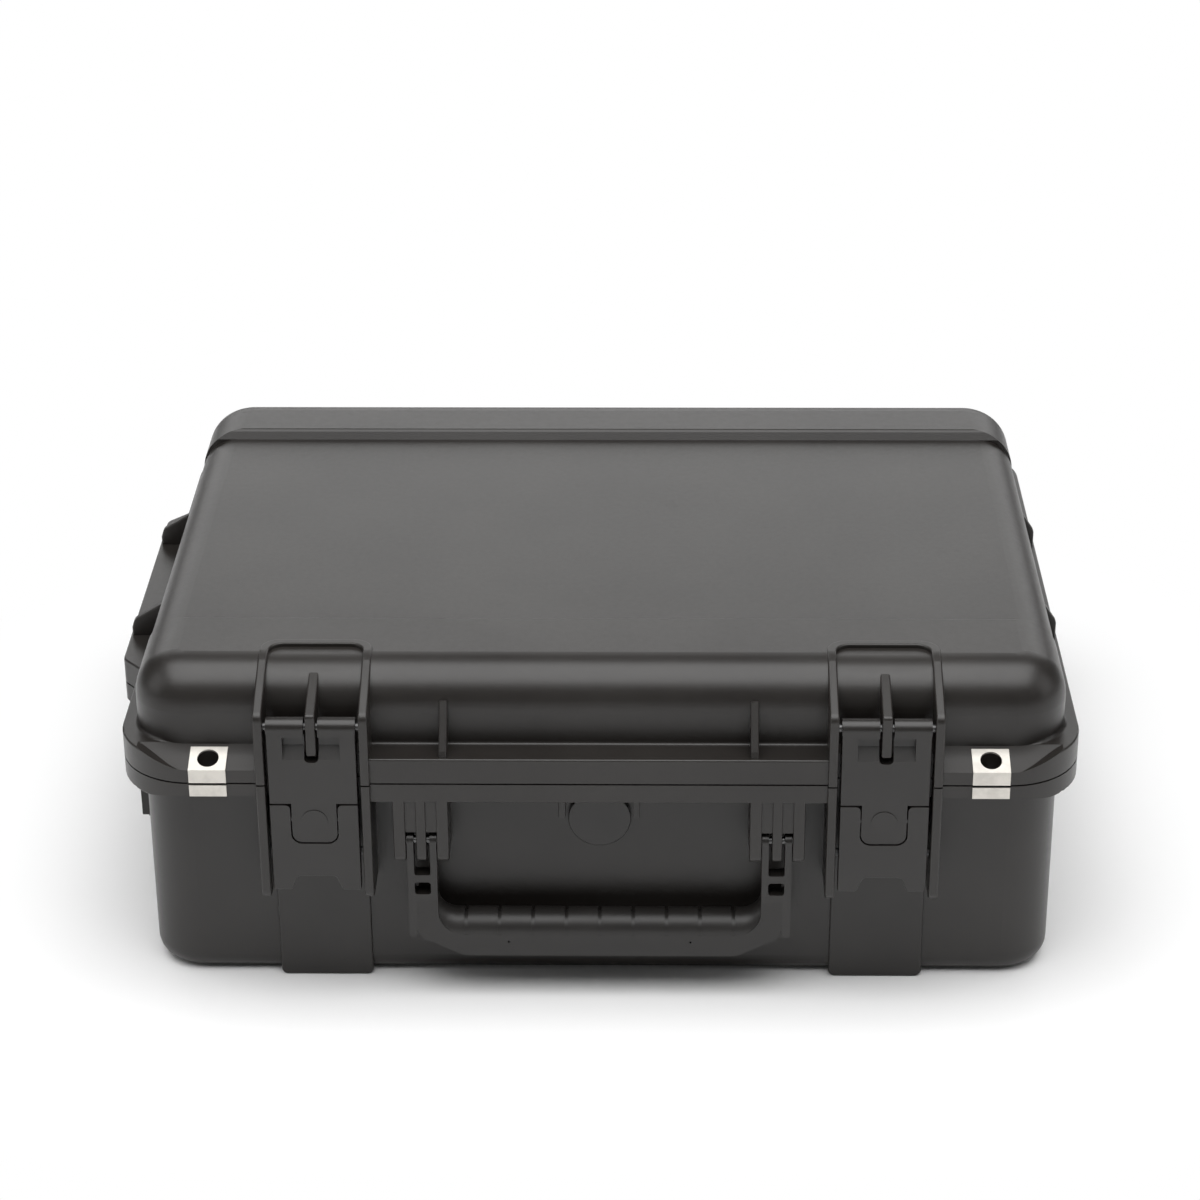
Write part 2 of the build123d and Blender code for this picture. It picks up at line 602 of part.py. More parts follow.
def panel_gap(inset):
    """The space between the two bands."""
    front = DOME_FACE + FRONT_BAND - inset
    rear = DOME_BACK - REAR_BAND + inset
    top = CASE_HEIGHT - inset
    f0, f1, f2 = band_edge(front, 1, top)
    r0, r1, r2 = band_edge(rear, -1, top)
    under = LID_BOTTOM + PAST
    floor_front = (front + STEP_RUN, top - PANEL_DROP)
    floor_rear = (rear - STEP_RUN, top - PANEL_DROP)
    path = Polyline(f2, floor_front, (floor_front[0], under), (floor_rear[0], under), floor_rear, r2)
    path += ThreePointArc(r2, r1, r0)
    path += Polyline(r0, (r0[0], top + PAST), (f0[0], top + PAST), f0)
    path += ThreePointArc(f0, f1, f2)
    x = DOME_X + PAST
    return Pos(-x, 0, 0) * extrude(Plane.YZ * make_face(path), 2 * x)


def lid_pockets():
    """Hollows on the underside of the lid's front flange, between its ribs."""
    reach = LATCH_OFFSET - POST_OUTER - POCKET_RIB
    y0 = FLANGE_FACE + SKIRT
    y1 = DOME_FACE + LID_WALL - GASKET_INSET - GASKET_WIDTH - SKIRT
    hollow = block(-reach, reach, y0, y1, LID_BOTTOM - PAST, FLANGE_TOP - FLANGE_PLATE)
    inner = pitch_positions(reach, POCKET_PITCH)[1:-1]
    return hollow - rib_slab(inner, POCKET_RIB, y0 - PAST, y1 + PAST, LID_BOTTOM - 2 * PAST, FLANGE_TOP)


def front_ribs():
    """The two upright ribs on the lid's front, in line with the handle's brackets."""
    top = CASE_HEIGHT - FRONT_RIB_DROP
    points = [
        (DOME_FACE + LID_WALL / 2, top),
        (DOME_FACE, top),
        (FLANGE_FACE + SKIRT, FLANGE_TOP + FRONT_RIB_TOE),
        (FLANGE_FACE + FRONT_RIB_SETBACK, FLANGE_TOP - RIB_HEEL),
        (DOME_FACE + LID_WALL / 2, FLANGE_TOP - RIB_HEEL),
    ]
    half = FRONT_RIB / 2
    ribs = [along_x(points, x - half, x + half) for x in (-FRONT_RIB_OFFSET, FRONT_RIB_OFFSET)]
    return [soft_sided(rib, Axis.X, RIB_SOFT) for rib in ribs]


def side_gussets():
    """Webs between the dome's sides and the flange, beside the side handle."""
    webs = []
    root = DOME_X - LID_WALL / 2
    heel = FLANGE_TOP - RIB_HEEL
    top = CASE_HEIGHT - GUSSET_DROP
    bend = (top - FLANGE_TOP) * GUSSET_SHOULDER
    for side, reach in ((LEFT, HALF_WIDTH + SIDE_OVERHANG), (RIGHT, FLANGE_X)):
        run = reach - DOME_X
        points = [
            (side * root, top),
            (side * DOME_X, top),
            (side * (DOME_X + GUSSET_REACH * run), FLANGE_TOP + bend),
            (side * (reach - FLANGE_SOFTEN), FLANGE_TOP + bend / 2),
            (side * (reach - FLANGE_SOFTEN), heel),
            (side * root, heel),
        ]
        for y in (SIDE_HANDLE_SHIFT - GUSSET_OFFSET, SIDE_HANDLE_SHIFT + GUSSET_OFFSET):
            web = along_y(points, y - GUSSET / 2, y + GUSSET / 2)
            bends = edges_near(web, Axis.Y, [lambda c: abs(c.Z - FLANGE_TOP - bend) < 0.1])
            webs.append(soft_sided(fillet(bends, GUSSET_ROUND), Axis.Y, RIB_SOFT))
    return webs


def soften_rim(body, z, radius):
    """Round a flange plate's outer edge at the given height."""
    rim = []
    for edge in body.edges():
        if all(abs(point.Z - z) < 0.01 for point in (edge @ 0, edge @ 0.5, edge @ 1)):
            rim.append(edge)
    return fillet(ShapeList(rim), radius)


def round_foot(body):
    """Hollow out the corner where the dome's wall meets the flange."""
    foot = []
    for edge in body.edges():
        points = (edge @ 0, edge @ 0.5, edge @ 1)
        level = all(abs(point.Z - FLANGE_TOP) < 0.01 for point in points)
        inside = all(abs(point.X) < DOME_X + 0.1 and DOME_FACE - 0.1 < point.Y < DOME_BACK + 0.1 for point in points)
        if level and inside:
            foot.append(edge)
    return fillet(ShapeList(foot), DOME_FOOT)


def latch_bays(z0, z1):
    """The recesses in a flange behind both latches."""
    half = LATCH_BAY / 2
    front = POST_FACE - PAST
    return [block(x - half, x + half, front, BAY_FACE, z0, z1) for x in (-LATCH_OFFSET, LATCH_OFFSET)]


def lid_shell():
    """The lid in one moulding: dome, flange, latch posts, ribs and hinge knuckles."""
    flange = soften_rim(flange_outline(LID_BOTTOM, FLANGE_TOP), FLANGE_TOP, FLANGE_SOFTEN)
    flange -= mirrored_pair(ledge_cut())
    flange -= latch_bays(LID_BOTTOM - PAST, FLANGE_TOP + PAST)
    flange -= lid_pockets()
    body = round_foot(dome(0.0) + flange)
    end = DOME_FACE + SCOOP_LENGTH - POST_THICKNESS
    below = block(-DOME_X, DOME_X, POST_FACE - 2 * PAST, 0, 0, FLANGE_TOP)
    for x in (-LATCH_OFFSET, LATCH_OFFSET):
        scoop = horseshoe(x, LATCH_BAY / 2, SCOOP_CORNER - POST_THICKNESS / 2, end)
        body -= scoop - dome_core(SCOOP_DEPTH) - below
    for x in (-LATCH_OFFSET, LATCH_OFFSET):
        body += lid_posts(x)
        body += latch_rib(x)
    for piece in front_ribs() + side_gussets() + hinge_knuckles("lid"):
        body += piece
    body -= dome(LID_WALL)
    body -= gasket_ring(LID_BOTTOM - PAST, LID_BOTTOM + GASKET_DEPTH, GASKET_WIDTH)
    for x in (-PADLOCK_OFFSET, PADLOCK_OFFSET):
        body -= rod_z(PADLOCK_HOLE, LID_BOTTOM - PAST, FLANGE_TOP + PAST, x, FLANGE_FACE + PADLOCK_SETBACK)
    half = POST_OUTER + PAST
    for x in (-LATCH_OFFSET, LATCH_OFFSET):
        body -= rod_x(LATCH_PIN, x - half, x + half, LATCH_PIVOT_Y, LATCH_PIVOT_Z)
    body -= hinge_bores(RUNNING)
    return body


def dome_core(inset):
    """The dome shrunk all round, without its panel step."""
    x = DOME_X - inset
    return rounded_block(
        -x, x, DOME_FACE + inset, DOME_BACK - inset, LID_BOTTOM - PAST, CASE_HEIGHT - inset,
        DOME_CORNER - inset, top=DOME_SHOULDER - inset,
    )


# ---------------------------------------------------------------- handles, in their own frame
# A handle is drawn with its width along X, its face towards -Y and the flange's face at Y = 0.
def leg_planes():
    """Y of a leg's front and back faces."""
    front = HANDLE_PIVOT_SETBACK - LEG_THICKNESS / 2
    return front, front + LEG_THICKNESS


def leg_cut(middle, z0, z1, radius, keep):
    """An opening through a leg, with the wanted corners rounded."""
    y0, y1 = leg_planes()
    half = LEG_SLOT / 2
    cut = block(middle - half, middle + half, y0 - PAST, y1 + PAST, z0, z1)
    return fillet(edges_near(cut, Axis.Y, [keep]), radius)


def handle_leg(outer):
    """The right leg of a handle's frame, from its eyes down to the grip."""
    inner = outer - LEG_WIDTH
    middle = outer - LEG_WIDTH / 2
    y0, y1 = leg_planes()
    low = HANDLE_PIVOT_Z - LEG_LENGTH
    window_top = HANDLE_PIVOT_Z - LEG_WINDOW_TOP
    window_low = window_top - LEG_WINDOW_HEIGHT
    leg = block(inner, outer, y0, y1, low, HANDLE_PIVOT_Z)
    leg += rod_x(HANDLE_EYE, inner, outer, HANDLE_PIVOT_SETBACK, HANDLE_PIVOT_Z)
    strip = block(outer - LEG_STRIP, outer, y0, y1, HANDLE_PIVOT_Z - LEG_STRIP_REACH, low + PAST)
    leg += fillet(edges_near(strip, Axis.Y, [lambda c: c.Z < low]), LEG_STRIP_ROUND)
    slot_top = HANDLE_PIVOT_Z + HANDLE_EYE + PAST
    slot_low = HANDLE_PIVOT_Z - LEG_SLOT_REACH
    leg -= leg_cut(middle, slot_low, slot_top, LEG_SLOT_ROUND, lambda c: c.Z < HANDLE_PIVOT_Z)
    leg -= leg_cut(middle, window_low, window_top, LEG_WINDOW_ROUND, lambda c: c.Z < HANDLE_PIVOT_Z)
    bore = rod_x(HANDLE_PIN + RUNNING, inner - PAST, outer + PAST, HANDLE_PIVOT_SETBACK, HANDLE_PIVOT_Z)
    return leg - bore


def handle_core(width):
    """The frame's U-shaped core inside the grip."""
    y0 = HANDLE_PIVOT_SETBACK - CORE_THICKNESS / 2
    y1 = y0 + CORE_THICKNESS
    top = HANDLE_PIVOT_Z - LEG_LENGTH + PAST
    z_bar = HANDLE_PIVOT_Z - GRIP_BAR_DROP
    inner = width / 2 - LEG_WIDTH + CORE_COVER
    outer = width / 2 - LEG_STRIP - CORE_COVER
    core = block(-outer, outer, y0, y1, z_bar - CORE_HEIGHT / 2, z_bar + CORE_HEIGHT / 2)
    upright = block(inner, outer, y0, y1, z_bar, top)
    return core + upright + upright.mirror(Plane.YZ)


def handle_frame(width):
    """The stiff frame: two legs and the core that joins them."""
    leg = handle_leg(width / 2)
    return leg + leg.mirror(Plane.YZ) + handle_core(width)


def grip_plate(width):
    """The flat lower part of the grip, with a cheek up to each leg."""
    half = width / 2 - LEG_STRIP
    inner = width / 2 - LEG_WIDTH
    top = HANDLE_PIVOT_Z - LEG_LENGTH
    z_bar = HANDLE_PIVOT_Z - GRIP_BAR_DROP
    low = HANDLE_PIVOT_Z - GRIP_REACH
    y0, _ = leg_planes()
    right = [
        (half - GRIP_CORNER_RUN, low),
        (half, low + GRIP_CORNER_RISE),
        (half, top),
        (inner, top),
        (inner, z_bar),
    ]
    plate = along_y(right + [(-x, z) for x, z in reversed(right)], y0, y0 + GRIP_PLATE)
    corners = edges_near(plate, Axis.Y, [lambda c: c.Z < low + GRIP_CORNER_RISE + 0.1])
    plate = fillet(corners, GRIP_CORNER_ROUND)
    return fillet(edges_near(plate, Axis.Y, [lambda c: abs(c.Z - z_bar) < 0.1]), GRIP_CHEEK_ROUND)


def grip_bands(width, count, bar):
    """The round bar: a core that is the grooves' floor, and the raised bands between the grooves."""
    y_bar = leg_planes()[0] + bar
    z_bar = HANDLE_PIVOT_Z - GRIP_BAR_DROP
    end = width / 2 - LEG_WIDTH + bar - (GRIP_BAR_DROP - LEG_LENGTH)
    reach = end - GRIP_GROOVE_MARGIN
    middles = [-reach + 2 * reach * index / (count - 1) for index in range(count)]
    starts = [-end] + [x + GRIP_GROOVE / 2 for x in middles]
    stops = [x - GRIP_GROOVE / 2 for x in middles] + [end]
    core = rod_x(bar - GRIP_GROOVE_DEPTH, -end, end, y_bar - GRIP_GROOVE_SHIFT, z_bar)
    return [core] + [rod_x(bar, start, stop, y_bar, z_bar) for start, stop in zip(starts, stops)]


def grip_elbow(width, bar):
    """The right-hand bend of the round bar, up to the foot of the leg."""
    turn = GRIP_BAR_DROP - LEG_LENGTH
    x = width / 2 - LEG_WIDTH + bar - turn
    y_bar = leg_planes()[0] + bar
    z = HANDLE_PIVOT_Z - LEG_LENGTH
    ring = Pos(x, y_bar, z) * Rot(90, 0, 0) * Torus(turn, bar)
    return ring & block(x, width / 2 - LEG_STRIP, y_bar - 2 * bar, y_bar + 2 * bar, z - turn - 2 * bar, z)


def handle_grip(width, grooves, bar):
    """The soft grip moulded round the frame's core: a round bar above a flat lower edge."""
    y0, _ = leg_planes()
    z_vent = HANDLE_PIVOT_Z - GRIP_BAR_DROP - GRIP_VENT_DROP
    elbow = grip_elbow(width, bar)
    grip = grip_plate(width) + grip_bands(width, grooves, bar) + elbow + elbow.mirror(Plane.YZ)
    vent = rod_y(GRIP_VENT, y0 - PAST, y0 + GRIP_VENT_DEPTH, GRIP_VENT_OFFSET, z_vent)
    return grip - mirrored_pair(vent) - handle_frame(width)


def prong_spans(outer):
    """X spans of a bracket's three prongs, either side of a leg's two."""
    middle = outer - LEG_WIDTH / 2
    half = BRACKET_MIDDLE / 2
    far = LEG_WIDTH / 2 + BRACKET_CLEAR
    return [
        (middle - far - BRACKET_PRONG, middle - far),
        (middle - half, middle + half),
        (middle + far, middle + far + BRACKET_PRONG),
    ]


def handle_bracket(outer, side, wall):
    """The three prongs that hold one leg, with the bridge between them."""
    low = PARTING_HEIGHT - BRACKET_DROP
    top = FLANGE_UNDER + SKIRT
    spans = prong_spans(outer)
    first, last = spans[0][0], spans[-1][1]
    bridge_low = PARTING_HEIGHT - BRACKET_BRIDGE_DROP
    body = block(first + PAST, last - PAST, BRACKET_BRIDGE_SETBACK, wall, bridge_low, top)
    for x0, x1 in spans:
        prong = block(x0, x1, 0, wall, low, top)
        toe = edges_near(prong, Axis.X, [lambda c: c.Y < PAST, lambda c: c.Z < low + PAST])
        body += soft_sided(fillet(toe, BRACKET_ROUND), Axis.X, RIB_SOFT)
    body -= rod_x(HANDLE_PIN, first - PAST, last + PAST, HANDLE_PIVOT_SETBACK, HANDLE_PIVOT_Z)
    return body if side == RIGHT else body.mirror(Plane.YZ)


def handle_pin(outer, side):
    """The steel pin through one leg and its bracket."""
    spans = prong_spans(outer)
    pin = rod_x(HANDLE_PIN, spans[0][0], spans[-1][1], HANDLE_PIVOT_SETBACK, HANDLE_PIVOT_Z)
    return pin if side == RIGHT else pin.mirror(Plane.YZ)


def at_front(piece):
    """Place a handle's piece at the front of the case."""
    return Pos(0, FLANGE_FACE, 0) * piece


def at_side(piece):
    """Place a handle's piece at the case's left side."""
    return Pos(-(HALF_WIDTH + SIDE_OVERHANG), SIDE_HANDLE_SHIFT, 0) * Rot(0, 0, -90) * piece


# ---------------------------------------------------------------- base
def flange_ribs():
    """The parts of the base's flange that stay solid: ribs across it and the padlock corners."""
    z0, z1 = FLANGE_UNDER - 2 * PAST, BASE_TOP
    reach = LATCH_OFFSET - POST_OUTER
    middle = pitch_positions(reach, POCKET_PITCH)[1:-1]
    rear = pitch_positions(HALF_WIDTH - BASE_CORNER, POCKET_PITCH)
    ribs = rib_slab(middle, POCKET_RIB, FLANGE_FACE, -HALF_DEPTH, z0, z1)
    ribs += rib_slab(rear, POCKET_RIB, HALF_DEPTH, FLANGE_BACK, z0, z1)
    far = HALF_WIDTH + SIDE_OVERHANG
    for y in pitch_positions(HALF_DEPTH - BASE_CORNER, POCKET_PITCH):
        rib = block(HALF_WIDTH - PAST, far, y - POCKET_RIB / 2, y + POCKET_RIB / 2, z0, z1)
        ribs += mirrored_pair(rib)
    return ribs + mirrored_pair(block(reach, CORNER_DIP_START, FLANGE_FACE, -HALF_DEPTH, z0, z1))


def base_flange():
    """The base's flange: a top plate, a skirt and ribs, open underneath."""
    flange = soften_rim(flange_outline(FLANGE_UNDER, BASE_TOP), FLANGE_UNDER, FLANGE_SOFTEN)
    hollow = flange_outline(FLANGE_UNDER - PAST, BASE_TOP - FLANGE_PLATE, SKIRT)
    x, y = HALF_WIDTH - PAST, HALF_DEPTH - PAST
    hollow -= block(-x, x, -y, y, FLANGE_UNDER - 2 * PAST, BASE_TOP)
    hollow -= flange_ribs()
    flange -= hollow
    flange -= mirrored_pair(base_notch())
    flange -= mirrored_pair(leaf_seat())
    return flange - latch_bays(FLANGE_UNDER - PAST, BASE_TOP + PAST)


def base_cavity():
    """The space inside the tub."""
    x, y = HALF_WIDTH - BASE_WALL, HALF_DEPTH - BASE_WALL
    edge = BASE_EDGE - BASE_WALL
    return rounded_block(-x, x, -y, y, BASE_WALL, BASE_TOP + PAST, BASE_CORNER - BASE_WALL, bottom=edge)


def valve_guard(x):
    """One of the two upright guards beside the pressure valve."""
    half = VALVE_GUARD / 2
    front, back = -HALF_DEPTH - VALVE_GUARD_REACH, -HALF_DEPTH + PAST
    guard = block(x - half, x + half, front, back, PARTING_HEIGHT - VALVE_GUARD_DROP, FLANGE_UNDER + SKIRT)
    return soft_sided(guard, Axis.X, RIB_SOFT)


def base_shell():
    """The base in one moulding: tub, flange, posts, brackets and hinge knuckles."""
    x, y = HALF_WIDTH, HALF_DEPTH
    body = rounded_block(-x, x, -y, y, 0, BASE_TOP, BASE_CORNER, bottom=BASE_EDGE)
    body += base_flange()
    for middle in (-LATCH_OFFSET, LATCH_OFFSET):
        body += base_pad(middle)
        body += base_posts(middle)
    for side in (LEFT, RIGHT):
        body += at_front(handle_bracket(HANDLE_WIDTH / 2, side, FLANGE_FRONT + PAST))
        body += at_side(handle_bracket(SIDE_HANDLE_WIDTH / 2, side, SIDE_OVERHANG + PAST))
        body += valve_guard(side * VALVE_GUARD_OFFSET)
    for piece in hinge_knuckles("base"):
        body += piece
    body -= base_cavity()
    body += gasket_ring(BASE_TOP - PAST, LID_BOTTOM - SEAT_GAP, TONGUE_WIDTH)
    y_hole = FLANGE_FACE + PADLOCK_SETBACK
    for middle in (-PADLOCK_OFFSET, PADLOCK_OFFSET):
        body -= rod_z(PADLOCK_HOLE, FLANGE_UNDER - PAST, BASE_TOP + PAST, middle, y_hole)
    for middle in (-LATCH_OFFSET, LATCH_OFFSET):
        body -= keeper(middle)
    body -= rod_y(VALVE_STEM, -HALF_DEPTH - PAST, -HALF_DEPTH + BASE_WALL + PAST, 0, VALVE_HEIGHT)
    body -= hinge_bores(0.0)
    return body


def keeper(x):
    """The steel bar between a latch's base posts, which the trigger closes against."""
    half = LATCH_BAY / 2 + KEEPER_SOCKET
    return rod_x(KEEPER_RADIUS, x - half, x + half, POST_FACE + KEEPER_SETBACK, PARTING_HEIGHT - KEEPER_DROP)


# ---------------------------------------------------------------- padlock plates
def plate_bore(z0, z1):
    """The left padlock hole, between two heights."""
    return rod_z(PADLOCK_HOLE, z0, z1, -PADLOCK_OFFSET, FLANGE_FACE + PADLOCK_SETBACK)


def bent_plate(points):
    """A bent strip of steel with the given side view, over the left padlock hole."""
    half = PADLOCK_PLATE_WIDTH / 2
    return along_x(points, -PADLOCK_OFFSET - half, -PADLOCK_OFFSET + half)


def lid_plate():
    """The steel plate over the lid's ledge and down its front."""
    slope = SLOPE_DROP / SLOPE_RUN
    rise = PADLOCK_PLATE * hypot(1.0, slope)
    front = FLANGE_FACE - PADLOCK_PLATE
    back = FLANGE_FACE + PADLOCK_LEAF
    low = FLANGE_TOP - SLOPE_DROP
    high = low + slope * PADLOCK_LEAF
    edge = LID_BOTTOM + SEAT_GAP
    points = [(back, high), (FLANGE_FACE, low), (FLANGE_FACE, edge), (front, edge)]
    points += [(front, low + rise - slope * PADLOCK_PLATE), (back, high + rise)]
    return bent_plate(points) - plate_bore(LID_BOTTOM, FLANGE_TOP + SLOPE_DROP)


def leaf_seat():
    """The recess under the base's flange that takes the left plate's lower leaf."""
    under = FLANGE_UNDER + BASE_NOTCH
    half = PADLOCK_PLATE_WIDTH / 2
    y0, y1 = FLANGE_FACE - PAST, FLANGE_FACE + PADLOCK_LEAF
    return block(-PADLOCK_OFFSET - half, -PADLOCK_OFFSET + half, y0, y1, under - PAST, under + PADLOCK_PLATE)


def base_plate():
    """The steel plate under the base's flange and up its front."""
    under = FLANGE_UNDER + BASE_NOTCH + PADLOCK_PLATE
    front = FLANGE_FACE - PADLOCK_PLATE
    back = FLANGE_FACE + PADLOCK_LEAF
    edge = BASE_TOP - SEAT_GAP
    points = [(back, under), (FLANGE_FACE, under), (FLANGE_FACE, edge), (front, edge)]
    points += [(front, under - PADLOCK_PLATE), (back, under - PADLOCK_PLATE)]
    return bent_plate(points) - plate_bore(under - SLOPE_DROP, BASE_TOP)


# ---------------------------------------------------------------- latches
def arm_window():
    """The pocket in the arm's face: a flat back above a sloping floor."""
    deep = ARM_FACE + WINDOW_DEEP
    top = LATCH_PIVOT_Z - WINDOW_TOP
    bottom = LATCH_PIVOT_Z - WINDOW_BOTTOM
    points = [(ARM_FACE - PAST, top), (deep, top), (deep, LATCH_PIVOT_Z - WINDOW_FLOOR), (ARM_FACE, bottom)]
    return along_x(points + [(ARM_FACE - PAST, bottom)], -WINDOW_HALF, WINDOW_HALF)


def arm_slot():
    """The slot that clears the lid's middle rib."""
    low = LATCH_PIVOT_Z - ARM_SLOT_REACH
    high = LATCH_PIVOT_Z + ARM_KNUCKLE + PAST
    slot = block(-ARM_SLOT / 2, ARM_SLOT / 2, ARM_FACE - PAST, LATCH_PIVOT_Y + 2 * ARM_KNUCKLE, low, high)
    return fillet(edges_near(slot, Axis.Y, [lambda c: c.Z < LATCH_PIVOT_Z]), ARM_SLOT_ROUND)


def spring_pocket():
    """The room for the trigger's spring, open at the back of the tongue."""
    half = SPRING_WIDTH / 2 + SPRING_ROOM
    reach = SPRING_OUTER + SPRING_ROOM
    z = TRIGGER_PIVOT_Z
    return block(-half, half, TRIGGER_PIVOT_Y - reach, TRIGGER_BACK + PAST, z - reach, z + reach)


def latch_arm(x):
    """The upper half of a latch: knuckles, pocket, shoulders and the tongue with its round boss."""
    half = ARM_WIDTH / 2
    shoulder = LATCH_PIVOT_Z - ARM_SHOULDER
    body = rod_x(ARM_KNUCKLE, -half, half, LATCH_PIVOT_Y, LATCH_PIVOT_Z)
    web = block(-half, half, ARM_FACE, ARM_BACK, shoulder, LATCH_PIVOT_Z)
    body += fillet(edges_near(web, Axis.Z, [lambda c: c.Y < ARM_FACE + 0.1]), LATCH_SOFT)
    tip = LATCH_PIVOT_Z - TONGUE_REACH
    tongue = block(-TONGUE_HALF, TONGUE_HALF, ARM_FACE, TRIGGER_BACK, tip, shoulder + PAST)
    body += fillet(edges_near(tongue, Axis.Y, [lambda c: c.Z < shoulder]), TONGUE_CORNER)
    body -= arm_window()
    body -= arm_slot()
    body += rod_y(BUTTON_RADIUS, ARM_FACE - BUTTON_PROUD, ARM_FACE + PAST, 0, TRIGGER_PIVOT_Z)
    body -= spring_pocket()
    body -= rod_x(TRIGGER_PIN, -half, half, TRIGGER_PIVOT_Y, TRIGGER_PIVOT_Z)
    body -= rod_x(LATCH_PIN + RUNNING, -half - PAST, half + PAST, LATCH_PIVOT_Y, LATCH_PIVOT_Z)
    return Pos(x, 0, 0) * body


def trigger_opening():
    """The U-shaped opening in the trigger, round the arm's tongue."""
    half = TONGUE_HALF + TRIGGER_GAP
    low = LATCH_PIVOT_Z - TONGUE_REACH - TRIGGER_GAP
    high = LATCH_PIVOT_Z - ARM_SHOULDER + PAST
    opening = block(-half, half, TRIGGER_FACE - PAST, TRIGGER_BACK + PAST, low, high)
    return fillet(edges_near(opening, Axis.Y, [lambda c: c.Z < high - PAST]), TONGUE_CORNER + TRIGGER_GAP)


def trigger_notch():
    """The finger notch in the trigger's lower end."""
    low = LATCH_PIVOT_Z - TRIGGER_REACH
    high = low + GRIP_NOTCH_HEIGHT
    right = [(GRIP_NOTCH_BOTTOM, low), (GRIP_NOTCH_TOP, high)]
    left = [(-x, z) for x, z in reversed(right)]
    below = [(-GRIP_NOTCH_BOTTOM, low - PAST), (GRIP_NOTCH_BOTTOM, low - PAST)]
    notch = along_y(right + left + below, TRIGGER_FACE - PAST, TRIGGER_BACK + PAST)
    return fillet(edges_near(notch, Axis.Y, [lambda c: c.Z > low + PAST]), TRIGGER_NOTCH_ROUND)


def trigger_plate():
    """The trigger's face plate, with its opening and notch."""
    half = ARM_WIDTH / 2
    top = LATCH_PIVOT_Z - ARM_SHOULDER - TRIGGER_GAP
    low = LATCH_PIVOT_Z - TRIGGER_REACH
    plate = block(-half, half, TRIGGER_FACE, TRIGGER_BACK, low, top) - trigger_opening()
    inner = edges_near(plate, Axis.Y, [lambda c: abs(c.Z - top) < 0.1, lambda c: abs(c.X) < half - PAST])
    plate = fillet(inner, TRIGGER_TOP_ROUND) - trigger_notch()
    feet = edges_near(plate, Axis.Y, [lambda c: c.Z < low + PAST / 2])
    plate = fillet(feet, TRIGGER_FOOT_ROUND)
    sides = [lambda c: c.Y < TRIGGER_FACE + 0.1, lambda c: abs(c.X) > half - 0.1]
    return fillet(edges_near(plate, Axis.Z, sides), LATCH_SOFT)


def trigger_hook():
    """The right-hand hook rib on the trigger's back, with a half-round seat for the keeper."""
    y = POST_FACE + KEEPER_SETBACK
    z = PARTING_HEIGHT - KEEPER_DROP
    lip = y - HOOK_SEAT
    root = TRIGGER_BACK - PAST
    points = [(root, z + HOOK_RIB_ROOT), (lip, z + HOOK_RIB_RISE)]
    points += [(lip, z - HOOK_RIB_RISE), (root, z - HOOK_RIB_ROOT)]
    rib = along_x(points, TONGUE_HALF - HOOK_RIB, TONGUE_HALF)
    return rib - rod_x(KEEPER_RADIUS + SEAT_GAP, 0, 2 * TONGUE_HALF, y, z)


def latch_trigger(x):
    """The lower half of a latch, which wraps round the tongue and is pulled to let go."""
    plate = trigger_plate()
    for hook in mirrored_pair(trigger_hook()):
        plate += hook
    reach = PIN_HALF + RUNNING
    plate -= rod_x(TRIGGER_PIN + RUNNING, -reach, reach, TRIGGER_PIVOT_Y, TRIGGER_PIVOT_Z)
    return Pos(x, 0, 0) * plate


def trigger_pin(x):
    """The pin that joins a trigger to its arm."""
    return Pos(x, 0, 0) * rod_x(TRIGGER_PIN, -PIN_HALF, PIN_HALF, TRIGGER_PIVOT_Y, TRIGGER_PIVOT_Z)


def trigger_spring(x):
    """The torsion spring in the tongue: a coil round the pin and a leg down the tongue's back."""
    half = SPRING_WIDTH / 2
    y, z = TRIGGER_PIVOT_Y, TRIGGER_PIVOT_Z
    bore = SPRING_OUTER - 2 * SPRING_WIRE
    coil = rod_x(SPRING_OUTER, -half, half, y, z) - rod_x(bore, -2 * half, 2 * half, y, z)
    leg_y = TRIGGER_BACK + SPRING_WIRE
    leg = rod_z(SPRING_WIRE, z - SPRING_LEG, z, half - SPRING_WIRE, leg_y)
    elbow = rod_y(SPRING_WIRE, y + SPRING_OUTER - SPRING_WIRE, leg_y, half - SPRING_WIRE, z)
    return Pos(x, 0, 0) * (coil + leg + elbow)


def latch_pin(x):
    """The pin through a latch's posts, knuckles and middle rib."""
    return rod_x(LATCH_PIN, x - POST_OUTER, x + POST_OUTER, LATCH_PIVOT_Y, LATCH_PIVOT_Z)


# ---------------------------------------------------------------- pressure valve
def valve_cap():
    """The round cap of the pressure valve, outside the front wall."""
    back = -HALF_DEPTH - VALVE_WASHER
    face = back - VALVE_CAP_THICKNESS
    cap = rod_y(VALVE_CAP, face, back, 0, VALVE_HEIGHT)
    rim = cap.edges().filter_by(GeomType.CIRCLE).sort_by(Axis.Y)[0]
    socket = rod_y(VALVE_STEM, face + VALVE_CAP_THICKNESS / 2, 0, 0, VALVE_HEIGHT)
    return fillet(rim, VALVE_CAP_EDGE) - socket


def valve_washer():
    """The sealing washer between the cap and the wall."""
    washer = rod_y(VALVE_CAP - 2 * VALVE_CAP_EDGE, -HALF_DEPTH - VALVE_WASHER, -HALF_DEPTH, 0, VALVE_HEIGHT)
    return washer - rod_y(VALVE_STEM, -HALF_DEPTH - 2 * VALVE_WASHER, 0, 0, VALVE_HEIGHT)


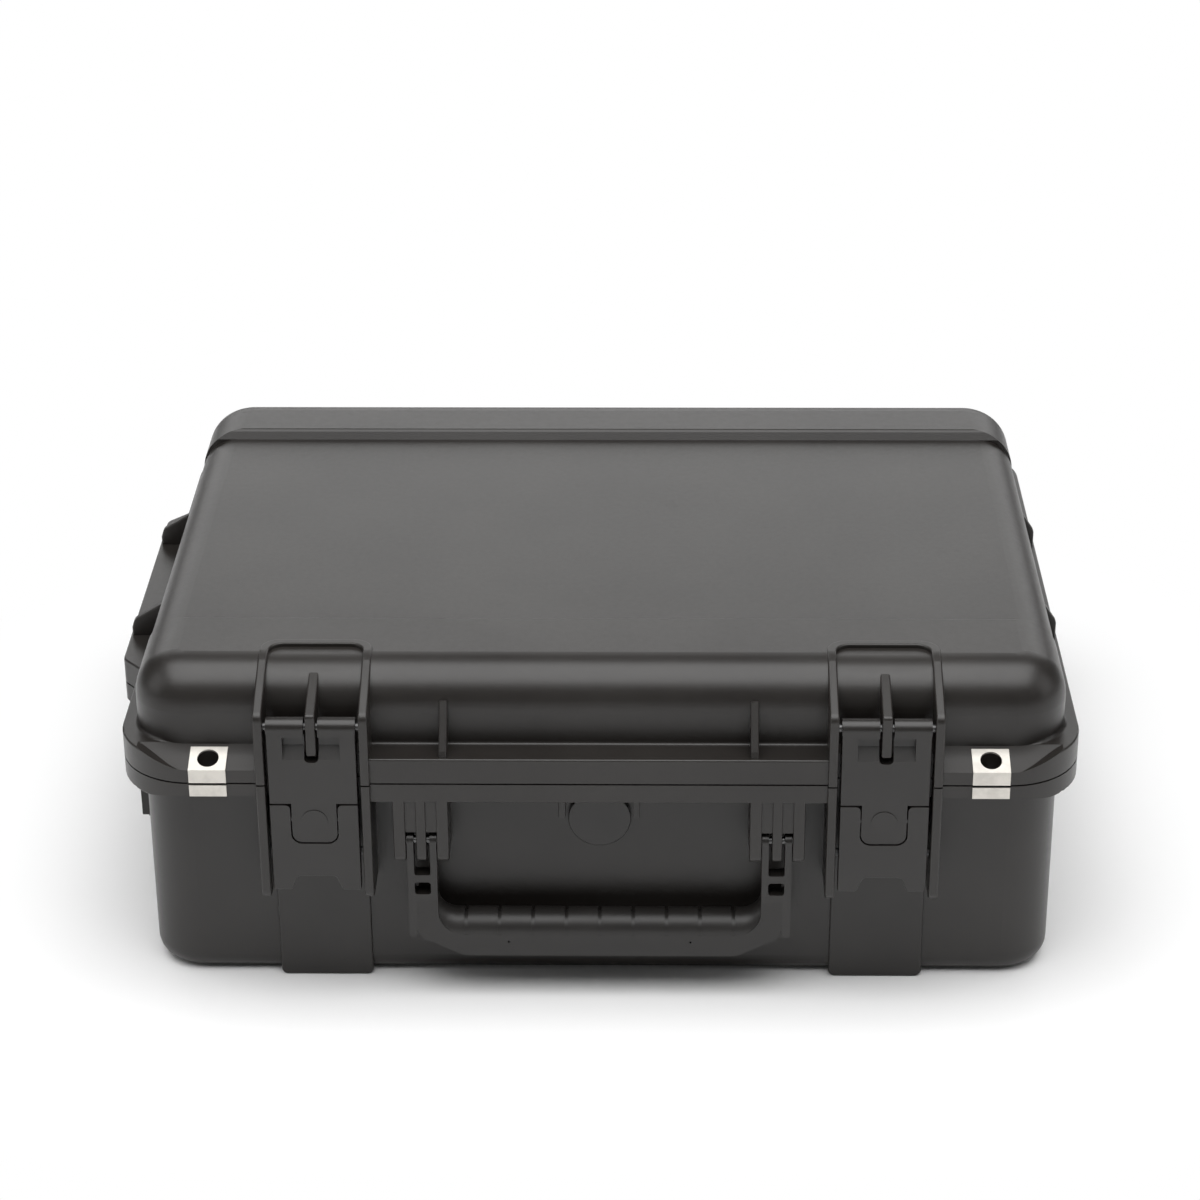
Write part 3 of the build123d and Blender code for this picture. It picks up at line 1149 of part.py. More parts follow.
def valve_body():
    """The threaded stem through the wall, hollow so that air can pass."""
    front = -HALF_DEPTH - VALVE_WASHER - VALVE_CAP_THICKNESS / 2
    end = -HALF_DEPTH + BASE_WALL + VALVE_NUT_THICKNESS
    stem = rod_y(VALVE_STEM, front, end, 0, VALVE_HEIGHT)
    return stem - rod_y(VALVE_BORE, front + VALVE_WASHER, end + PAST, 0, VALVE_HEIGHT)


def valve_nut():
    """The hexagonal nut inside the wall."""
    back = -HALF_DEPTH + BASE_WALL + VALVE_NUT_THICKNESS
    nut = Pos(0, back, VALVE_HEIGHT) * extrude(Plane.XZ * RegularPolygon(VALVE_NUT, 6), VALVE_NUT_THICKNESS)
    return nut - rod_y(VALVE_STEM, -HALF_DEPTH, back + PAST, 0, VALVE_HEIGHT)


# ---------------------------------------------------------------- pedalboard
def board_spans():
    """The Y spans of the board's strips, from front to rear."""
    strip = (BOARD_DEPTH - (BOARD_STRIPS - 1) * BOARD_SLOT) / BOARD_STRIPS
    starts = [-BOARD_DEPTH / 2 + i * (strip + BOARD_SLOT) for i in range(BOARD_STRIPS)]
    return [(y, y + strip) for y in starts]


def board_webs(z0, z1):
    """Stiffening webs under the board's strips."""
    webs = []
    for near, far in board_spans():
        middle = (near + far) / 2
        for x in pitch_positions(BOARD_WIDTH / 2 - BOARD_SLOT_SIDE, BOARD_WEB_PITCH):
            y0, y1 = middle - BOARD_WEB / 2, middle + BOARD_WEB / 2
            webs.append(block(x - BOARD_WALL / 2, x + BOARD_WALL / 2, y0, y1, z0, z1))
    return webs


def pedalboard_deck():
    """The moulded board: a skirted tray turned down, with cable slots between its strips."""
    w, d = BOARD_WIDTH / 2, BOARD_DEPTH / 2
    z0, z1 = BOARD_FLOOR + FOOT_HEIGHT, BOARD_FLOOR + BOARD_HEIGHT
    under = z1 - BOARD_WALL
    deck = rounded_block(-w, w, -d, d, z0, z1, BOARD_CORNER, top=BOARD_EDGE)
    wi, di = w - BOARD_WALL, d - BOARD_WALL
    deck -= rounded_block(-wi, wi, -di, di, z0 - PAST, under, BOARD_CORNER - BOARD_WALL)
    spans = board_spans()
    reach = w - BOARD_SLOT_SIDE
    for front, behind in zip(spans, spans[1:]):
        slot = block(-reach, reach, front[1], behind[0], under - PAST, z1 + PAST)
        deck -= fillet(slot.edges().filter_by(Axis.Z), BOARD_SLOT_CORNER)
    for piece in board_webs(z0 + BOARD_WEB_LIFT, under + PAST):
        deck += piece
    for x, y in foot_places():
        deck += rod_z(FOOT_RADIUS, z0, under + PAST, x, y)
    return deck


def foot_places():
    """Where the board's feet stand."""
    x, y = BOARD_WIDTH / 2 - FOOT_INSET, BOARD_DEPTH / 2 - FOOT_INSET
    return [(-x, -y), (x, -y), (-x, y), (x, y)]


def board_feet():
    """The board's rubber feet."""
    return [rod_z(FOOT_RADIUS, BOARD_FLOOR, BOARD_FLOOR + FOOT_HEIGHT, x, y) for x, y in foot_places()]


def hook_strips():
    """The hook-and-loop strips stuck on the board."""
    z = BOARD_FLOOR + BOARD_HEIGHT
    x = BOARD_WIDTH / 2 - BOARD_CORNER
    margin = HOOK_MARGIN
    return [block(-x, x, y0 + margin, y1 - margin, z, z + HOOK_THICKNESS) for y0, y1 in board_spans()]


# ---------------------------------------------------------------- foam
def hand_slot():
    """The right-hand recess beside the board's nest, for lifting the board out."""
    x0 = BOARD_WIDTH / 2
    x1 = x0 + BOARD_CLEARANCE + HAND_SLOT_DEPTH
    half = HAND_SLOT_WIDTH / 2
    slot = block(x0, x1, -half, half, BOARD_FLOOR, BASE_TOP)
    return fillet(edges_near(slot, Axis.Z, [lambda c: c.X > x1 - PAST]), HAND_SLOT_ROUND)


def base_foam():
    """The block of foam in the base, with the board's nest and two hand slots."""
    inset = BASE_WALL + FOAM_CLEARANCE
    x, y = HALF_WIDTH - inset, HALF_DEPTH - inset
    top = BASE_TOP - FOAM_BELOW_RIM
    foam = rounded_block(-x, x, -y, y, BASE_WALL, top, BASE_CORNER - inset, bottom=BASE_EDGE - BASE_WALL)
    w, d = BOARD_WIDTH / 2 + BOARD_CLEARANCE, BOARD_DEPTH / 2 + BOARD_CLEARANCE
    foam -= rounded_block(-w, w, -d, d, BOARD_FLOOR, BASE_TOP, BOARD_CORNER)
    foam -= mirrored_pair(hand_slot())
    reach = VALVE_NUT + VALVE_NUT_CLEARANCE
    back = -HALF_DEPTH + BASE_WALL + VALVE_NUT_THICKNESS + VALVE_NUT_CLEARANCE
    return foam - block(-reach, reach, -y - PAST, back, VALVE_HEIGHT - reach, BASE_TOP)


def lid_foam():
    """The slab of foam under the lid."""
    inset = LID_WALL + FOAM_CLEARANCE
    low = PANEL_TOP - inset - LID_FOAM
    return dome(inset) - block(-DOME_X, DOME_X, DOME_FACE, DOME_BACK, LID_BOTTOM - PAST, low)


# ---------------------------------------------------------------- the nodes
def main():
    """Write every node."""
    save("base_shell", base_shell())
    save("lid_shell", lid_shell())
    save("lid_gasket", gasket_ring(LID_BOTTOM, LID_BOTTOM + GASKET_DEPTH, GASKET_WIDTH))
    save("base_foam", base_foam())
    save("lid_foam", lid_foam())
    save("pedalboard_deck", pedalboard_deck())
    save("pedalboard_hook_strips", *hook_strips())
    save("pedalboard_feet", *board_feet())
    save("lid_padlock_plates", *mirrored_pair(lid_plate()))
    save("base_padlock_plates", *mirrored_pair(base_plate()))
    sides = (("left", -LATCH_OFFSET), ("right", LATCH_OFFSET))
    save("latch_keeper_bars", *[keeper(x) for _, x in sides])
    save("latch_pivot_pins", *[latch_pin(x) for _, x in sides])
    for name, x in sides:
        save(f"latch_arm_{name}", latch_arm(x))
        save(f"latch_trigger_{name}", latch_trigger(x))
        save(f"trigger_pin_{name}", trigger_pin(x))
        save(f"trigger_spring_{name}", trigger_spring(x))
    front = ("front", HANDLE_WIDTH, GRIP_GROOVES, FRONT_GRIP_BAR, at_front)
    side = ("side", SIDE_HANDLE_WIDTH, SIDE_GRIP_GROOVES, SIDE_GRIP_BAR, at_side)
    for name, width, grooves, bar, place in (front, side):
        save(f"{name}_handle_frame", place(handle_frame(width)))
        save(f"{name}_handle_grip", place(handle_grip(width, grooves, bar)))
        save(f"{name}_handle_pins", *[place(handle_pin(width / 2, hand)) for hand in (LEFT, RIGHT)])
    save("hinge_pins", *hinge_pins())
    save("valve_cap", valve_cap())
    save("valve_washer", valve_washer())
    save("valve_body", valve_body())
    save("valve_nut", valve_nut())


main()
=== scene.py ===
"""Looks of the hard case for guitar pedals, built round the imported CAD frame.

The case's solids come from the frame and keep their place. This script gives every node a procedural
finish, stands soft shaped pieces in for the two foams and wound ones for the trigger springs, and sets
the floor, light and camera.
"""

import json
import logging
import math
from dataclasses import dataclass, field
from enum import Enum
from typing import Any

import bpy
from mathutils import Matrix, Vector, noise

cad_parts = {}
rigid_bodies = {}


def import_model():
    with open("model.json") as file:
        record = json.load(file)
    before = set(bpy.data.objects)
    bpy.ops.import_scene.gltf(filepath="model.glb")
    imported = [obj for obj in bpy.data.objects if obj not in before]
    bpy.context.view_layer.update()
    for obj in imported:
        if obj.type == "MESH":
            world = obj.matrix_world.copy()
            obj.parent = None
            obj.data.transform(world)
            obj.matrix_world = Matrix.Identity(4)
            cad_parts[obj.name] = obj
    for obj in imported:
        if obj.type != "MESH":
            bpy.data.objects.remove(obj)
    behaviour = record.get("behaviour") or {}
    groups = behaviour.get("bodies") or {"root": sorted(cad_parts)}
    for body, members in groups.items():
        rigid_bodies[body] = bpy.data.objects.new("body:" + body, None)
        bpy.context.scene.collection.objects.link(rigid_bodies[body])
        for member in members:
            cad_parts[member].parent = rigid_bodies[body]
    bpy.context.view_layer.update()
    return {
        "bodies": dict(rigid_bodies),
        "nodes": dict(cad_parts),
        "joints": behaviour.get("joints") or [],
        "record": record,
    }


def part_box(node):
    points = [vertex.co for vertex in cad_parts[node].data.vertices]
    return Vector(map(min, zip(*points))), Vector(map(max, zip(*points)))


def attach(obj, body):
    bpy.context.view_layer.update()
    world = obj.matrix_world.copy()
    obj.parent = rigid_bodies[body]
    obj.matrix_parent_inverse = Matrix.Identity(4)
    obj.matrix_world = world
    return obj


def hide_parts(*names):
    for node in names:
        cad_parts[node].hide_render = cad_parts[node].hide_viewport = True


log = logging.getLogger("pedal_case")

Colour = tuple[float, float, float, float]
Triple = tuple[float, float, float]

WHITE: Colour = (1.0, 1.0, 1.0, 1.0)
NO_LENGTH: Triple = (0.0, 0.0, 0.0)
FULL_TURN = 2 * math.pi
HALF = 0.5
PLASTIC_SPECULAR = 0.5


def grey(value: float) -> Colour:
    """A neutral colour."""
    return (value, value, value, 1.0)


def scaled(colour: Colour, factor: float) -> Colour:
    """A lighter or darker tone of a colour.

    Args:
        colour: The colour to start from.
        factor: What each channel is multiplied by.

    Returns:
        The tone, opaque.
    """
    return tuple(factor * channel for channel in colour[:3]) + (1.0,)


class MathOp(Enum):
    """What a Math node does with two numbers."""

    ADD = "ADD"
    SUBTRACT = "SUBTRACT"
    MULTIPLY = "MULTIPLY"


class VectorOp(Enum):
    """What a Vector Math node does with its vectors."""

    ABSOLUTE = "ABSOLUTE"
    SUBTRACT = "SUBTRACT"
    MAXIMUM = "MAXIMUM"
    LENGTH = "LENGTH"


class Value:
    """A number socket that can be used in expressions, which add Math nodes."""

    def __init__(self, shader: "Shader", socket: Any) -> None:
        """Wraps an output socket of the shader's tree.

        Args:
            shader: The shader that owns the node tree.
            socket: The output socket to wrap.
        """
        self.shader = shader
        self.socket = socket

    def _math(self, operation: MathOp, first: Any, second: Any) -> "Value":
        """Adds one Math node.

        Args:
            operation: What the node does.
            first: A Value or a number.
            second: A Value or a number.

        Returns:
            The node's result.
        """
        settings = {"operation": operation.value}
        return self.shader.node("ShaderNodeMath", settings, {0: first, 1: second}).out()

    def __add__(self, other: Any) -> "Value":
        """self + other."""
        return self._math(MathOp.ADD, self, other)

    def __radd__(self, other: Any) -> "Value":
        """other + self."""
        return self._math(MathOp.ADD, other, self)

    def __sub__(self, other: Any) -> "Value":
        """self - other."""
        return self._math(MathOp.SUBTRACT, self, other)

    def __rsub__(self, other: Any) -> "Value":
        """other - self."""
        return self._math(MathOp.SUBTRACT, other, self)

    def __mul__(self, other: Any) -> "Value":
        """self * other."""
        return self._math(MathOp.MULTIPLY, self, other)

    def __rmul__(self, other: Any) -> "Value":
        """other * self."""
        return self._math(MathOp.MULTIPLY, other, self)


class NodeHandle:
    """One shader node, with its outputs as Values."""

    def __init__(self, shader: "Shader", node: Any) -> None:
        """Keeps the node and its shader.

        Args:
            shader: The shader that owns the node.
            node: The Blender node.
        """
        self.shader = shader
        self.node = node

    def out(self, name: int | str = 0) -> Value:
        """One output of the node."""
        return Value(self.shader, self.node.outputs[name])


class Shader:
    """A material's node tree, with one Principled shader."""

    MIX_FIRST = 6
    MIX_SECOND = 7
    MIX_RESULT = 2

    def __init__(self, name: str) -> None:
        """Starts a material.

        Args:
            name: The material's name.
        """
        self.material = bpy.data.materials.new(name)
        self.material.use_nodes = True
        self.tree = self.material.node_tree
        self.principled = self.tree.nodes["Principled BSDF"]

    def node(
        self,
        kind: str,
        settings: dict[str, Any] | None = None,
        inputs: dict[Any, Any] | None = None,
    ) -> NodeHandle:
        """Adds a node.

        Args:
            kind: The node's type.
            settings: Attributes of the node, set first.
            inputs: Values or links by input name or number.

        Returns:
            The new node.
        """
        made = self.tree.nodes.new(kind)
        for key, value in (settings or {}).items():
            setattr(made, key, value)
        for key, value in (inputs or {}).items():
            self.feed(made.inputs[key], value)
        return NodeHandle(self, made)

    def feed(self, socket: Any, value: Any) -> None:
        """Links or sets one input.

        Args:
            socket: The input socket.
            value: A Value to link, or a plain value to set.
        """
        if isinstance(value, Value):
            self.tree.links.new(value.socket, socket)
        else:
            socket.default_value = value

    def place(self) -> Value:
        """Object coordinates, in metres."""
        return self.node("ShaderNodeTexCoord").out("Object")

    def noise(self, where: Value, scale: float, detail: float = 4.0, rough: float = 0.55) -> Value:
        """Noise from 0 to 1.

        Args:
            where: The coordinates.
            scale: Features per metre, roughly.
            detail: Octaves.
            rough: How strong the finer octaves are.

        Returns:
            The noise factor.
        """
        inputs = {"Vector": where, "Scale": scale, "Detail": detail, "Roughness": rough}
        return self.node("ShaderNodeTexNoise", {}, inputs).out("Fac")

    def ramp(self, factor: Value, low: float, high: float) -> Value:
        """Maps a factor's range low to high onto 0 to 1, easing in and out.

        Args:
            factor: The input.
            low: Where the result is 0.
            high: Where the result is 1.

        Returns:
            A value from 0 to 1.
        """
        made = self.node("ShaderNodeValToRGB", {}, {0: factor})
        ramp = made.node.color_ramp
        ramp.interpolation = "EASE"
        ramp.elements[0].position, ramp.elements[1].position = low, high
        return made.out()

    def mix(self, factor: Any, first: Any, second: Any) -> Value:
        """Mixes two colours.

        Args:
            factor: 0 gives the first, 1 the second.
            first: A colour or a link.
            second: A colour or a link.

        Returns:
            The mixed colour.
        """
        inputs = {0: factor, self.MIX_FIRST: first, self.MIX_SECOND: second}
        return self.node("ShaderNodeMix", {"data_type": "RGBA"}, inputs).out(self.MIX_RESULT)

    def vector(self, operation: VectorOp, first: Any, second: Any = NO_LENGTH) -> NodeHandle:
        """Adds one Vector Math node.

        Args:
            operation: What the node does.
            first: A vector or a link.
            second: A vector, where the operation takes two.

        Returns:
            The new node.
        """
        settings = {"operation": operation.value}
        return self.node("ShaderNodeVectorMath", settings, {0: first, 1: second})

    def bump(self, height: Value, strength: float, distance: float) -> Value:
        """A bumped normal.

        Args:
            height: The height from 0 to 1.
            strength: The bump's strength.
            distance: The real height in metres.

        Returns:
            The normal.
        """
        inputs = {"Height": height, "Strength": strength, "Distance": distance}
        return self.node("ShaderNodeBump", {}, inputs).out()

    def finish(self, settings: dict[str, Any]) -> bpy.types.Material:
        """Sets the Principled shader and gives the material.

        Args:
            settings: Values or links by input name.

        Returns:
            The material.
        """
        for name, value in settings.items():
            self.feed(self.principled.inputs[name], value)
        return self.material


@dataclass(frozen=True)
class MouldedPlastic:
    """Textured moulded plastic: a fine spark-eroded grain, faint handling marks and dust."""

    name: str
    colour: Colour
    sheen_colour: Colour
    roughness: float
    grain_per_m: float = 1500.0
    grain_m: float = 0.00012
    grain_strength: float = 0.35
    cloud_per_m: float = 9.0
    mottle_per_m: float = 260.0
    mottle_roughness: float = 0.10
    scuff_per_m: float = 34.0
    scuff_tint: float = 0.18
    scuff_roughness: float = 0.06

    def build(self) -> bpy.types.Material:
        """The finished material."""
        shader = Shader(self.name)
        where = shader.place()
        cloud = shader.noise(where, self.cloud_per_m, detail=3.0)
        mottle = shader.noise(where, self.mottle_per_m, detail=2.0)
        grain = shader.noise(where, self.grain_per_m, detail=2.0, rough=0.6)
        marks = shader.noise(where, self.scuff_per_m, detail=8.0, rough=0.72)
        scuff = shader.ramp(marks, low=0.60, high=0.78)
        tone = shader.mix(shader.ramp(cloud, low=0.3, high=0.75), self.colour, self.sheen_colour)
        uneven = (mottle - HALF) * self.mottle_roughness
        return shader.finish(
            {
                "Base Color": shader.mix(scuff * self.scuff_tint, tone, self.sheen_colour),
                "Roughness": self.roughness + uneven + scuff * self.scuff_roughness,
                "Normal": shader.bump(grain, self.grain_strength, self.grain_m),
                "Specular IOR Level": PLASTIC_SPECULAR,
            }
        )


@dataclass(frozen=True)
class BrushedSteel:
    """Bright steel with a fine straight grain along one axis."""

    name: str
    colour: Colour
    roughness: float
    lines_per_m: Triple = (40.0, 1600.0, 1600.0)
    line_m: float = 0.00005
    line_strength: float = 0.18
    line_roughness: float = 0.16
    patch_per_m: float = 120.0
    patch_tint: float = 0.5
    patch_tone: float = 0.72

    def build(self) -> bpy.types.Material:
        """The finished material."""
        shader = Shader(self.name)
        where = shader.place()
        inputs = {"Vector": where, "Scale": self.lines_per_m}
        stretched = shader.node("ShaderNodeMapping", {}, inputs).out()
        lines = shader.noise(stretched, 1.0, detail=3.0, rough=0.6)
        patch = shader.ramp(shader.noise(where, self.patch_per_m, detail=3.0), low=0.35, high=0.75)
        darker = scaled(self.colour, self.patch_tone)
        return shader.finish(
            {
                "Base Color": shader.mix(patch * self.patch_tint, self.colour, darker),
                "Metallic": 1.0,
                "Roughness": self.roughness + (lines - HALF) * self.line_roughness,
                "Normal": shader.bump(lines, self.line_strength, self.line_m),
            }
        )


@dataclass(frozen=True)
class SoftRubber:
    """Soft matte rubber with a faint skin texture."""

    name: str
    colour: Colour
    roughness: float
    skin_per_m: float = 900.0
    skin_m: float = 0.0001
    skin_strength: float = 0.3
    cloud_per_m: float = 30.0
    cloud_tint: float = 0.5
    cloud_tone: float = 1.5
    cloud_roughness: float = 0.12

    def build(self) -> bpy.types.Material:
        """The finished material."""
        shader = Shader(self.name)
        where = shader.place()
        skin = shader.noise(where, self.skin_per_m, detail=3.0, rough=0.6)
        cloud = shader.noise(where, self.cloud_per_m, detail=3.0)
        pale = scaled(self.colour, self.cloud_tone)
        blend = shader.ramp(cloud, low=0.35, high=0.8) * self.cloud_tint
        return shader.finish(
            {
                "Base Color": shader.mix(blend, self.colour, pale),
                "Roughness": self.roughness + (cloud - HALF) * self.cloud_roughness,
                "Normal": shader.bump(skin, self.skin_strength, self.skin_m),
                "Specular IOR Level": PLASTIC_SPECULAR,
            }
        )


@dataclass(frozen=True)
class CellFoam:
    """Cut foam: open cells of uneven size over a soft, light-soaking body, with painted shade
    darkening each cell's hollow.
    """

    name: str
    colour: Colour
    cells_per_m: float = 700.0
    fine_to_cells: float = 2.4
    fine_share: float = 0.2
    cell_m: float = 0.0005
    cell_strength: float = 0.6
    # Tone of the painted shade in each cell's hollow.
    pit_shade_tone: float = 0.45
    cloud_per_m: float = 24.0
    cloud_tint: float = 0.3
    cloud_tone: float = 1.3

    def build(self) -> bpy.types.Material:
        """The finished material."""
        shader = Shader(self.name)
        where = shader.place()
        inputs = {"Vector": where, "Scale": self.cells_per_m}
        cells = shader.node("ShaderNodeTexVoronoi", {}, inputs).out("Distance")
        fine = shader.noise(where, self.fine_to_cells * self.cells_per_m, detail=2.0)
        cloud = shader.noise(where, self.cloud_per_m, detail=4.0)
        # Painted shade: the hollow of each cell, where the bump is lowest, is darkened to this tone.
        pit_shade = scaled(self.colour, self.pit_shade_tone)
        pit = shader.ramp(cells, low=0.05, high=0.45)
        pale = scaled(self.colour, self.cloud_tone)
        blend = shader.ramp(cloud, low=0.3, high=0.8) * self.cloud_tint
        height = pit * (1.0 - self.fine_share) + fine * self.fine_share
        return shader.finish(
            {
                "Base Color": shader.mix(pit, pit_shade, shader.mix(blend, self.colour, pale)),
                "Roughness": 0.92,
                "Normal": shader.bump(height, self.cell_strength, self.cell_m),
                "Specular IOR Level": 0.15,
                "Sheen Weight": 0.15,
                "Sheen Roughness": 0.6,
            }
        )


@dataclass(frozen=True)
class HookPile:
    """Hook-and-loop strip: a dense pile of small hooks in rows, the raised hook tips painted paler as
    a highlight.
    """

    name: str
    colour: Colour
    rows_per_m: float = 620.0
    randomness: float = 0.35
    hook_m: float = 0.0006
    hook_strength: float = 0.7
    # Tone of the painted highlight on the raised hook tips.
    tip_highlight_tone: float = 2.6

    def build(self) -> bpy.types.Material:
        """The finished material."""
        shader = Shader(self.name)
        where = shader.place()
        inputs = {"Vector": where, "Scale": self.rows_per_m, "Randomness": self.randomness}
        tufts = shader.node("ShaderNodeTexVoronoi", {}, inputs)
        hook = shader.ramp(tufts.out("Distance"), low=0.1, high=0.6)
        # Painted highlight: the raised tips, where the bump is highest, are made paler than the ground
        # between them.
        pale = scaled(self.colour, self.tip_highlight_tone)
        return shader.finish(
            {
                "Base Color": shader.mix(hook, pale, self.colour),
                "Roughness": 0.85,
                "Normal": shader.bump(1.0 - hook, self.hook_strength, self.hook_m),
                "Specular IOR Level": 0.2,
                "Sheen Weight": 0.2,
            }
        )


@dataclass
class Finishes:
    """Every finish of the case, by the record's slot."""

    made: dict[str, bpy.types.Material] = field(default_factory=dict)

    def build(self) -> None:
        """Builds one material per slot."""
        body = {"colour": (0.0125, 0.0105, 0.0092, 1.0), "sheen_colour": (0.019, 0.0168, 0.015, 1.0)}
        trim = {
            "colour": (0.0120, 0.0104, 0.0094, 1.0),
            "sheen_colour": (0.018, 0.0162, 0.015, 1.0),
            "grain_per_m": 1900.0,
            "grain_m": 0.00008,
        }
        recipes = {
            "base_plastic": MouldedPlastic("base_moulding", roughness=0.36, **body),
            "lid_plastic": MouldedPlastic("lid_moulding", roughness=0.36, **body),
            "latch_plastic": MouldedPlastic("latch_moulding", roughness=0.34, **trim),
            "handle_plastic": MouldedPlastic("handle_moulding", roughness=0.35, **trim),
            "valve_plastic": MouldedPlastic("valve_moulding", roughness=0.35, **trim),
            "board_plastic": MouldedPlastic("board_moulding", roughness=0.46, **body),
            "grip_rubber": SoftRubber("grip_rubber", (0.013, 0.0115, 0.0105, 1.0), 0.45),
            "gasket_rubber": SoftRubber("gasket_rubber", grey(0.016), 0.75),
            "foot_rubber": SoftRubber("foot_rubber", grey(0.03), 0.75),
            "plate_steel": BrushedSteel("plate_steel", (0.62, 0.595, 0.55, 1.0), 0.42),
            "pin_steel": BrushedSteel("pin_steel", grey(0.16), 0.4),
            "spring_steel": BrushedSteel("spring_steel", (0.4, 0.4, 0.41, 1.0), 0.35),
            "base_foam": CellFoam("nest_foam", grey(0.045)),
            "lid_foam": CellFoam("lid_foam", grey(0.05), cells_per_m=480.0),
            "hook_fabric": HookPile("hook_pile", grey(0.014)),
        }
        self.made = {slot: recipe.build() for slot, recipe in recipes.items()}
        log.info("built %d finishes", len(self.made))

    def dress(self, piece: bpy.types.Object, slot: str) -> None:
        """Gives a piece one finish.

        Args:
            piece: The object to dress.
            slot: The record's slot name.
        """
        piece.data.materials.clear()
        piece.data.materials.append(self.made[slot])


@dataclass
class CarriedNodes:
    """The CAD nodes that show as they are."""

    finishes: Finishes

    def dress(self, frame: dict[str, Any]) -> None:
        """Gives every CAD node its slot's finish.
        """
        for subpart in frame["record"]["subparts"]:
            self.finishes.dress(frame["nodes"][subpart["node"]], subpart["material_slot"])


def new_piece(name: str, mesh: bpy.types.Mesh) -> bpy.types.Object:
    """Puts a mesh into the scene as a piece.

    Args:
        name: The piece's name.
        mesh: Its mesh, in metres.

    Returns:
        The new object.
    """
    piece = bpy.data.objects.new(name, mesh)
    bpy.context.scene.collection.objects.link(piece)
    return piece


def applied(piece: bpy.types.Object) -> None:
    """Applies a piece's modifiers to its mesh.

    Args:
        piece: The object whose modifiers are applied.
    """
    graph = bpy.context.evaluated_depsgraph_get()
    shaped = bpy.data.meshes.new_from_object(piece.evaluated_get(graph))
    piece.modifiers.clear()
    piece.data = shaped


def shaded_smooth(mesh: bpy.types.Mesh) -> None:
    """Gives every face smooth shading."""
    mesh.polygons.foreach_set("use_smooth", [True] * len(mesh.polygons))


@dataclass
class Foam:
    """The cut foam of the base and the egg-crate foam of the lid, with soft edges.

    Attributes:
        finishes: The case's finishes.
        voxel: Size of the remeshed faces in metres.
        soften: Rounds of smoothing.
        soften_factor: Strength of one round.
        unevenness: Most that the surface sinks, in metres.
        wave: Distance over which that changes, in metres.
        crate_pitch: From one peak to the next, in metres.
        crate_depth: Height of the peaks, in metres.
        crate_border: Plain rim round the peaks, in metres.
        crate_fade: Distance over which the peaks rise from it, in metres.
    """

    frame: dict[str, Any]
    finishes: Finishes
    voxel: float = 0.004
    soften: int = 6
    soften_factor: float = 0.5
    unevenness: float = 0.0005
    wave: float = 0.045
    crate_pitch: float = 0.042
    crate_depth: float = 0.016
    crate_border: float = 0.012
    crate_fade: float = 0.010

    def block(self, node: str, body: str) -> bpy.types.Object:
        """A soft-edged copy of a foam node, ready to be carved.

        Args:
            node: The CAD node the piece stands for.
            body: The body it rides on.

        Returns:
            The new piece.
        """
        piece = new_piece(f"soft_{node}", self.frame["nodes"][node].data.copy())
        remesh = piece.modifiers.new("voxels", "REMESH")
        remesh.mode = "VOXEL"
        remesh.voxel_size = self.voxel
        smooth = piece.modifiers.new("soft_edges", "SMOOTH")
        smooth.factor = self.soften_factor
        smooth.iterations = self.soften
        applied(piece)
        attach(piece, body)
        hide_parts(node)
        self.finishes.dress(piece, node)
        return piece

    def settle(self, piece: bpy.types.Object) -> None:
        """Makes a cut surface slightly uneven, always inwards.

        Args:
            piece: The foam piece.
        """
        mesh = piece.data
        facing = [tuple(normal.vector) for normal in mesh.vertex_normals]
        places = [vertex.co.copy() for vertex in mesh.vertices]
        moved: list[float] = []
        for place, normal in zip(places, facing):
            push = self.unevenness * (HALF + HALF * noise.noise(place / self.wave))
            moved.extend(place - push * Vector(normal))
        mesh.vertices.foreach_set("co", moved)
        shaded_smooth(mesh)
        mesh.update()

    def crate(self, piece: bpy.types.Object, lo: Vector, hi: Vector) -> None:
        """Carves the lid foam's underside into rounded peaks.

        Args:
            piece: The lid's foam.
            lo: Lowest corner of the foam.
            hi: Highest corner of the foam.
        """
        turn = FULL_TURN / self.crate_pitch
        for vertex in piece.data.vertices:
            x, y, z = vertex.co
            if z > lo.z + self.voxel:
                continue
            inside = min(x - lo.x, hi.x - x, y - lo.y, hi.y - y) - self.crate_border
            fade = min(1.0, max(0.0, inside / self.crate_fade))
            hollow = HALF * (1 - HALF * (math.cos(turn * x) + math.cos(turn * y)))
            vertex.co.z += self.crate_depth * fade * hollow

    def build(self) -> None:
        """Builds both foams."""
        nest = self.block("base_foam", "base")
        self.settle(nest)
        roof = self.block("lid_foam", "lid")
        lo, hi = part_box("lid_foam")
        self.crate(roof, lo, hi)
        self.settle(roof)
        for piece in (nest, roof):
            log.info("%s has %d faces", piece.name, len(piece.data.polygons))


